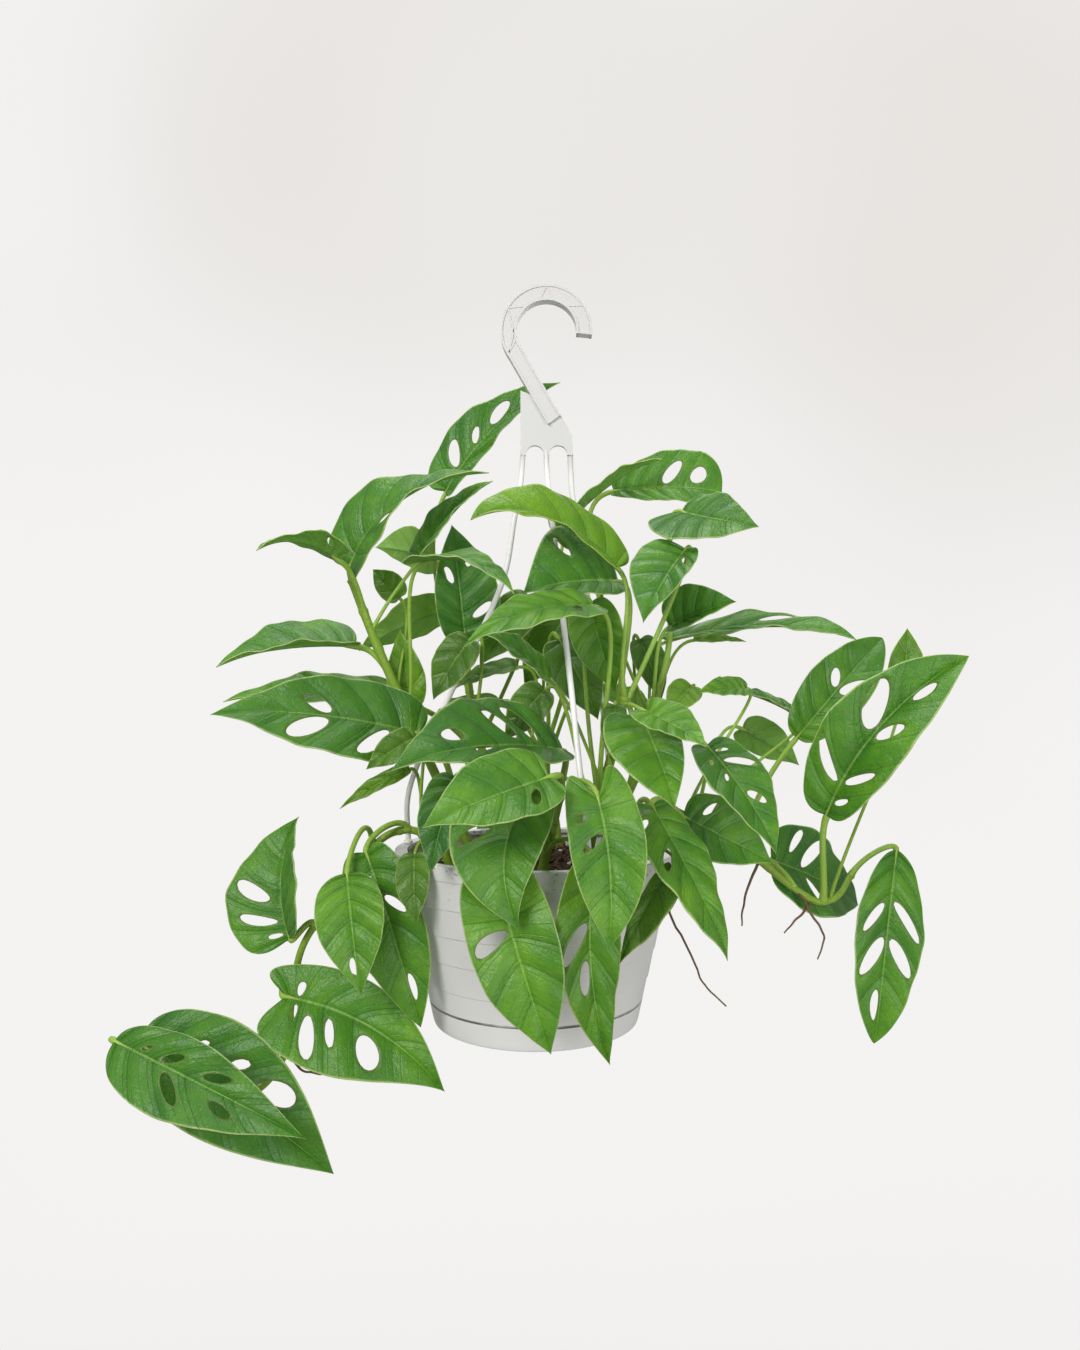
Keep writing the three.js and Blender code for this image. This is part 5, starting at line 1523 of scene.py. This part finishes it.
class Blade:
    """The surface of one leaf's blade."""

    def __init__(self, leaf: Leaf, habit: BladeHabit) -> None:
        """Work out the blade's own directions.

        Args:
            leaf: The leaf.
            habit: What every blade shares.
        """
        self.leaf = leaf
        self.habit = habit
        self.width = leaf.width or leaf.length * habit.width_share
        arch = leaf.length * habit.arch_share if leaf.arch is None else leaf.arch
        self.base, self.tip = np.array(leaf.base, float), np.array(leaf.tip, float)
        self.face = unit(np.array(leaf.face, float))
        self.tip_face = unit(np.array(leaf.tip_face or leaf.face, float))
        left = unit(np.cross(self.face, self.tip - self.base))
        self.middle = (self.base + self.tip) / 2 + self.face * 2 * arch + left * 2 * leaf.bow

    def midrib(self, share: Array) -> Array:
        """Quadratic Bezier curve (1-s)^2 base + 2s(1-s) middle + s^2 tip."""
        s = np.asarray(share, float)[..., None]
        return (1 - s) ** 2 * self.base + 2 * s * (1 - s) * self.middle + s**2 * self.tip

    def frame(self, share: Array) -> tuple[Array, Array, Array]:
        """Directions of the blade at shares of its length.

        Args:
            share: Places along the midrib; a little below 0 in the lobes behind the petiole.

        Returns:
            Tangent, left direction and upper normal.
        """
        tangent = unit(self.midrib(share + 0.01) - self.midrib(share - 0.01))
        turn = np.clip(share, 0, 1)[..., None]
        left = unit(np.cross(self.face + (self.tip_face - self.face) * turn, tangent))
        return tangent, left, np.cross(tangent, left)

    def flat(self, t: Array, across: Array) -> tuple[Array, Array]:
        """Flat outline of the blade.

        A side vein leaves the midrib at L t^1.9 and ends on the margin at
        x = L (t^1.05 - lobe t (1-t)^6), y = (1 + side skew) W/2 t^0.75 (1-t)^taper over its own
        greatest value; between the two, x goes as v^1.3 and y as v, v being the share across.

        Args:
            t: Place along the margin, from base to tip.
            across: Place across, from -1 at the right margin to 1 at the left.

        Returns:
            Distances along and across the blade.
        """
        length, taper = self.leaf.length, self.leaf.taper
        v = np.abs(across)
        rib = length * t**1.9
        margin_x = length * (t**1.05 - self.leaf.lobe * t * (1 - t) ** 6)
        widest = 0.75 / (0.75 + taper)
        bulge = (t / widest) ** 0.75 * ((1 - t) / (1 - widest)) ** taper
        margin_y = self.width / 2 * bulge * (1 + self.leaf.skew * np.sign(across))
        return rib + (margin_x - rib) * v**1.3, margin_y * v

    def vein_count(self, t: Array) -> Array:
        """Number of side veins passed from the base to each place."""
        return np.interp(t, self.leaf.veins, np.arange(len(self.leaf.veins)))

    def points(self, t: Array, across: Array) -> tuple[Array, Array]:
        """Upper surface of the blade.

        The flat outline is laid along the midrib and folded up by the fold angle, the blade rises
        between side veins as |sin(pi k)|^0.7 of the vein count k, sinks to a groove over the
        midrib, its margin waves as sin(15 t) with small waves sin(38 t) on it, and its tip bends
        down as the square of the way past t = 0.8.

        Args:
            t: Place along the margin.
            across: Place across, from -1 at the right margin to 1 at the left.

        Returns:
            Points and unit normals.
        """
        leaf, habit = self.leaf, self.habit
        side, v = np.where(across < 0, -1.0, 1.0), np.abs(across)
        x, y = self.flat(t, across)
        share = x / leaf.length
        _, left, up = self.frame(share)
        fold = math.radians(leaf.fold)
        bulge = np.abs(np.sin(np.pi * self.vein_count(t))) ** 0.7 * np.sin(np.pi * v**0.8) ** 0.8
        body = np.sin(np.pi * t) ** 0.6
        rise = y * math.sin(fold) * (1.3 - 0.3 * v)
        waves = habit.wave * np.sin(t * 15 + side) * v**2
        waves = waves + habit.ruffle * np.sin(t * 38 + side * 3 + leaf.tone * 7) * v**3
        rise += leaf.length * waves * np.sin(np.pi * t)
        bend = np.clip(t - habit.tip_start, 0, 1) / (1 - habit.tip_start)
        rise -= leaf.length * habit.curl * bend**2
        rise += leaf.length * habit.quilting * bulge * body
        rise -= habit.channel * np.exp(-((y / habit.channel_reach) ** 2)) * body
        slope = (fold * smooth_step(0, 2.0, y))[..., None] * side[..., None]
        place = self.midrib(share) + left * (side * y * math.cos(fold))[..., None] + up * rise[..., None]
        return place, unit(up * np.cos(slope) - left * np.sin(slope))

    def opened(self, t: Array, across: Array, quads: Array) -> tuple[Array, Array, Array]:
        """Open the holes: drop the quads inside each ellipse and pull the edge left onto it.

        Args:
            t: Place along the margin of each point.
            across: Place across of each point.
            quads: The grid's quads.

        Returns:
            The places moved to the holes' edges, and the quads that stay.
        """
        veins = self.leaf.veins
        for side, count, middle, reach, half in self.leaf.holes:
            start, end = np.interp([count - half, count + half], np.arange(len(veins)), veins)
            centre = np.array([(start + end) / 2, side * middle])
            radii = np.array([(end - start) / 2, reach])
            offset = (np.stack([t, across], axis=-1) - centre) / radii
            distance = np.linalg.norm(offset, axis=-1)
            inside = np.linalg.norm(offset[quads].mean(axis=1), axis=-1) < 1
            edge = np.intersect1d(quads[inside], quads[~inside])
            pulled = centre + offset[edge] / distance[edge, None] * radii
            t[edge], across[edge] = pulled[:, 0], pulled[:, 1]
            quads = quads[~inside]
        return t, across, quads

    def shape(self) -> Surface:
        """Close the upper surface with a lower one and a wall round every edge.

        Returns:
            The blade, marked with its vein count, place across, rim and underside.
        """
        leaf, habit = self.leaf, self.habit
        run = np.linspace(0, 1, leaf.rows + 1)
        along = habit.even_share * run + (1 - habit.even_share) * (1 - np.cos(np.pi * run)) / 2
        grids = np.meshgrid(along, np.linspace(-1, 1, 2 * leaf.columns + 1), indexing="ij")
        t, across = (grid.ravel() for grid in grids)
        ids = np.arange(len(t)).reshape(leaf.rows + 1, -1)
        ids[0], ids[-1] = ids[0, 0], ids[-1, 0]
        triangles, quads = grid_faces(ids, wrap=False)
        t, across, quads = self.opened(t.copy(), across.copy(), quads)
        triangles, quads = triangles[:, ::-1], quads[:, ::-1]
        around = [np.stack([face, np.roll(face, -1, axis=1)], axis=-1) for face in (triangles, quads)]
        edges = np.concatenate([pairs.reshape(-1, 2) for pairs in around])
        count = len(t)
        both_ways = np.isin(edges[:, 0] * count + edges[:, 1], edges[:, 1] * count + edges[:, 0])
        border = edges[~both_ways]
        place, normal = self.points(t, across)
        _, y = self.flat(t, across)
        ridge = habit.rib_height * np.exp(-((y / habit.rib_reach) ** 2)) * (1 - t) ** 0.7
        upper = place + normal * habit.thickness / 2
        lower = place - normal * (habit.thickness / 2 + ridge)[:, None]
        start, end = border.T
        walls = np.stack([end, start, start + count, end + count], axis=-1)
        rim = np.zeros(count)
        rim[border.ravel()] = 1
        surface = Surface(
            np.concatenate([upper, lower]),
            np.concatenate([triangles, triangles[:, ::-1] + count]),
            np.concatenate([quads, quads[:, ::-1] + count, walls]),
            {"rim": np.tile(rim, 2), "vein_count": np.tile(self.vein_count(t), 2),
             "across": np.tile(across, 2), "underside": np.repeat([0.0, 1.0], count)},
        )
        return without_spares(surface).marked(tone=leaf.tone)


def without_spares(surface: Surface) -> Surface:
    """Drop the points that no face uses.

    Args:
        surface: The surface.

    Returns:
        The same faces over the points that are left.
    """
    corners = np.concatenate([surface.triangles.ravel(), surface.quads.ravel()])
    used, places = np.unique(corners, return_inverse=True)
    split = surface.triangles.size
    triangles = places[:split].reshape(-1, 3)
    quads = places[split:].reshape(-1, 4)
    marks = {name: values[used] for name, values in surface.marks.items()}
    return Surface(surface.points[used], triangles, quads, marks)


@dataclass
class Foliage:
    """Stems, trailing vines, leaves and aerial roots."""

    blade: BladeHabit = BladeHabit()
    petiole: PetioleHabit = PetioleHabit()
    stem_sides: int = 14
    node_gap: float = 26.0  # distance between the swollen joints of a stem
    node_swelling: float = 0.22
    root_radius: float = 0.85
    root_points: int = 40
    root_wander: float = 0.8

    def petiole_shape(self, leaf: Leaf, stem: Stem) -> Surface:
        """A stalk from the stem, up and over along a cubic Bezier curve, and on under the midrib.

        Args:
            leaf: The leaf that it carries.
            stem: The stem that it leaves.

        Returns:
            The stalk, thicker at its foot and at the joint below the blade.
        """
        habit, blade = self.petiole, Blade(leaf, self.blade)
        start = spline_at(stem.route, np.array([leaf.at]))[0]
        base = blade.base
        reach = np.linalg.norm(base - start)
        level = (base - start) * [1, 1, 0]
        tangent, _, up = blade.frame(np.array(0.0))
        leave = start + unit(level) * reach * 0.2 + [0, 0, reach * leaf.lift]
        arrive = base - tangent * reach * 0.25
        s = np.linspace(0, 1, habit.steps)[:, None]
        curve = (1 - s) ** 3 * start + 3 * s * (1 - s) ** 2 * leave
        curve = curve + 3 * s**2 * (1 - s) * arrive + s**3 * (base - up * habit.hang)
        under = [blade.midrib(habit.sink * share) - up * habit.hang for share in habit.end_places]
        path = np.vstack([curve, under])
        run = np.linspace(0, 1, habit.steps)
        radii = habit.radius + (habit.foot_radius - habit.radius) * np.exp(-run * 14)
        radii += (habit.neck_radius - habit.radius) * np.exp(-(((run - 0.95) / 0.07) ** 2))
        radii *= np.clip(blade.width / habit.usual_width, 0.6, 1.15)
        radii = np.concatenate([radii, radii[-1] * np.array(habit.end_radii)])
        return tube(path, radii, habit.sides).marked(stalk=1.0, tone=leaf.tone)

    def stem_shape(self, stem: Stem) -> Surface:
        """Carry a circle along a stem's route.

        Args:
            stem: The stem.

        Returns:
            The stem, a little thicker at every joint and thinner towards its end.
        """
        length = float(np.linalg.norm(np.diff(spline(stem.route, 60), axis=0), axis=1).sum())
        path = spline(stem.route, int(length / 2.2))
        joints = max(2, round(length / self.node_gap))
        run = np.linspace(0, 1, len(path))
        swelling = np.cos(np.pi * run * joints) ** 40 * self.node_swelling
        radii = stem.radius * (1 + swelling) * (1 - 0.2 * run)
        return tube(path, radii, self.stem_sides).marked(stalk=1.0)

    def root_shape(self, route: Route) -> Surface:
        """Carry a circle along a root's route.

        Args:
            route: Where the root runs.

        Returns:
            The root, wandering a little off its route and thinner towards its end.
        """
        path = spline(route, self.root_points)
        wander = np.stack([drift(path, 9.0, SEED + axis) for axis in (5, 6, 7)], axis=-1)
        share = np.linspace(0, 1, self.root_points)
        path = path + wander * np.sin(np.pi * share)[:, None] * self.root_wander
        return tube(path, self.root_radius * (1.1 - 0.6 * share), 7).marked(stalk=1.0, root=1.0)

    def leaf_shape(self, leaf: Leaf, stem: Stem) -> Surface:
        """A blade and its petiole."""
        return joined([Blade(leaf, self.blade).shape(), self.petiole_shape(leaf, stem)])

    def build(self, green: Material, lime: Material, stalks: Material) -> None:
        """Make every stem with its sprouts and roots, and every leaf.

        Args:
            green: Finish of the grown leaves.
            lime: Finish of the young leaves.
            stalks: Finish of the stems and what is one growth with them.
        """
        stems = {stem.name: stem for stem in STEMS}
        for stem in STEMS:
            grown = [self.stem_shape(stem)]
            grown += [self.leaf_shape(sprout, stem) for sprout in SPROUTS if sprout.stem == stem.name]
            grown += [self.root_shape(route) for vine, route in ROOTS if vine == stem.name]
            piece_of(f"{stem.name}_grown", joined(grown), stalks, (stem.name,))
        for leaf in LEAVES:
            finish = lime if leaf.growth is Growth.YOUNG else green
            shape = self.leaf_shape(leaf, stems[leaf.stem])
            piece_of(f"{leaf.name}_blade", shape, finish, (leaf.name,))


# ---------- Studio ----------


@dataclass(frozen=True)
class Lamp:
    """A soft square light: where it hangs, in metres, its size, power and colour."""

    name: str
    place: Point
    size: float
    power: float
    colour: Colour = (1.0, 0.99, 0.97)


@dataclass
class Studio:
    """Pale sweep, soft lamps and the camera; lengths in metres in the part's frame."""

    camera_place: Point = (-0.0037, -0.62, -0.2202)
    lens: float = 28.0
    aim: Point = (0.0, 0.0, -0.24)
    floor_height: float = -1.3
    reach: float = 6.0
    ceiling: float = 5.0
    wall: Colour = (0.90, 0.893, 0.885)
    painted_wall_shade: Colour = (0.80, 0.775, 0.75)  # broad soft patches of painted shade on it
    glow: float = 0.45  # light that the room gives the plant, beside what the camera sees of it
    lamps: tuple[Lamp, ...] = (
        Lamp("lamp_key", (-0.7, -1.2, 0.4), 0.6, 15.0),
        Lamp("lamp_fill", (0.8, -1.2, -0.4), 1.0, 8.0),
        Lamp("lamp_top", (-0.1, 0.2, 1.1), 0.8, 10.0),
        Lamp("lamp_back", (0.3, 1.4, 0.3), 1.2, 6.0),
    )

    def floor(self) -> None:
        """Lay a plain pale floor that curves up into the walls and ceiling of a round room."""
        room = [
            (0, self.floor_height, 0),
            (self.reach, self.floor_height, 2.5),
            (self.reach, self.ceiling, 3.0),
            (0, self.ceiling, 0),
        ]
        profile = rounded(room, 16) / MILLIMETRE + [0, HOOK_CROWN[2]]
        material, bench, shader = new_material("pale_floor")
        # Broad soft patches of painted shade over the wall's colour.
        patches = bench.ramp(bench.noise(0.16, bench.place()), 0.45, 0.75)
        seen = bench.add("ShaderNodeLightPath").outputs["Is Camera Ray"]
        inputs = {
            "Base Color": solid_colour((0.0, 0.0, 0.0)),
            "Roughness": 1.0,
            "Specular IOR Level": 0.0,
            "Emission Color": bench.blend(patches, self.wall, self.painted_wall_shade),
            "Emission Strength": bench.math("MULTIPLY_ADD", seen, 1.0 - self.glow, self.glow),
        }
        bench.feed(shader, inputs)
        floor = bpy.data.objects.new("floor", mesh_of("floor", lathe(profile, 96).flipped()))
        bpy.context.collection.objects.link(floor)
        floor.data.materials.append(material)

    def light(self) -> None:
        """Hang the lamps, each turned to the plant."""
        for lamp in self.lamps:
            light = bpy.data.lights.new(lamp.name, "AREA")
            light.shape = "SQUARE"
            light.size = lamp.size
            light.energy = lamp.power
            light.color = lamp.colour
            hung = bpy.data.objects.new(lamp.name, light)
            hung.location = lamp.place
            away = Vector(self.aim) - Vector(lamp.place)
            hung.rotation_euler = away.to_track_quat("-Z", "Y").to_euler()
            bpy.context.collection.objects.link(hung)

    def shoot(self) -> None:
        """Set up the level camera and plain colours."""
        camera = bpy.data.cameras.new("camera")
        camera.lens = self.lens
        camera.sensor_width = 36.0
        camera.clip_start = 0.01
        stand = bpy.data.objects.new("camera", camera)
        stand.location = self.camera_place
        stand.rotation_euler = (math.pi / 2, 0, 0)
        bpy.context.collection.objects.link(stand)
        bpy.context.scene.camera = stand
        bpy.context.scene.view_settings.view_transform = "Standard"

    def build(self) -> None:
        """Build the whole studio."""
        self.floor()
        self.light()
        self.shoot()


# ---------- Finishes of this plant ----------

# The pot's plastic also carries the painted shade line at the seam, which darkens the saucer's rim too.
POT_PLASTIC = PlasticFinish("white_plastic", (0.74, 0.745, 0.73), (0.69, 0.695, 0.68), 0.38, 0.5)
# One moulding in two colours: near-white strands as painted light for the light through the thin plastic,
# and above 335 mm the hook and plate in the darker shade colour as painted shade.
HANGER_PLASTIC = PlasticFinish("hanger_plastic", (0.95, 0.95, 0.94), (0.64, 0.64, 0.635), 0.36, 0.0,
                               painted_shade_height=335.0, clouding=0.1)
SOIL_CRUMBS = CrumbFinish("soil_crumbs", (0.018, 0.011, 0.007), (0.10, 0.062, 0.036), 420.0, 0.9)
PERLITE = CrumbFinish("perlite", (0.50, 0.48, 0.44), (0.82, 0.80, 0.76), 900.0, 0.5)
BARK = CrumbFinish("bark", (0.045, 0.022, 0.012), (0.20, 0.115, 0.06), 600.0, 0.6)
# Each leaf finish's underside colour is brighter than the leaf's own paler underside: painted light for
# the light through the blade.
GROWN_LEAF = LeafFinish(
    "grown_leaf",
    deep=(0.022, 0.11, 0.018),
    middle=(0.055, 0.19, 0.012),
    young=(0.14, 0.33, 0.015),
    vein=(0.24, 0.42, 0.08),
    margin=(0.42, 0.55, 0.20),
    underside=(0.14, 0.29, 0.05),
    stalk=(0.27, 0.44, 0.06),
)
YOUNG_LEAF = LeafFinish(
    "young_leaf",
    deep=(0.05, 0.18, 0.01),
    middle=(0.11, 0.26, 0.008),
    young=(0.17, 0.34, 0.01),
    vein=(0.27, 0.45, 0.10),
    margin=(0.38, 0.48, 0.12),
    underside=(0.22, 0.40, 0.09),
    stalk=(0.27, 0.44, 0.06),
)
STEM_GROWTH = LeafFinish(
    "stem_growth",
    deep=(0.045, 0.12, 0.013),
    middle=(0.085, 0.20, 0.013),
    young=(0.14, 0.30, 0.015),
    vein=(0.24, 0.42, 0.08),
    margin=(0.32, 0.44, 0.10),
    underside=(0.14, 0.29, 0.05),
    stalk=(0.21, 0.35, 0.03),
)


def main() -> None:
    """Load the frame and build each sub-assembly in order."""
    logging.basicConfig(level=logging.INFO, format="%(name)s: %(message)s")
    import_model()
    specks, veins = speckle_group(), vein_group()
    pot_plastic = POT_PLASTIC.build(specks)
    hanger = Hanger()
    Saucer().build(pot_plastic)
    Pot().build(pot_plastic, [hanger.foot(strand, 0.0) for strand in STRANDS], hanger.hole_radius)
    Soil().build(SOIL_CRUMBS.build(), PERLITE.build(), BARK.build())
    hanger.build(HANGER_PLASTIC.build(specks))
    Foliage().build(*(finish.build(veins, specks) for finish in (GROWN_LEAF, YOUNG_LEAF, STEM_GROWTH)))
    Studio().build()
    bpy.context.view_layer.update()


if __name__ == "__main__":
    main()
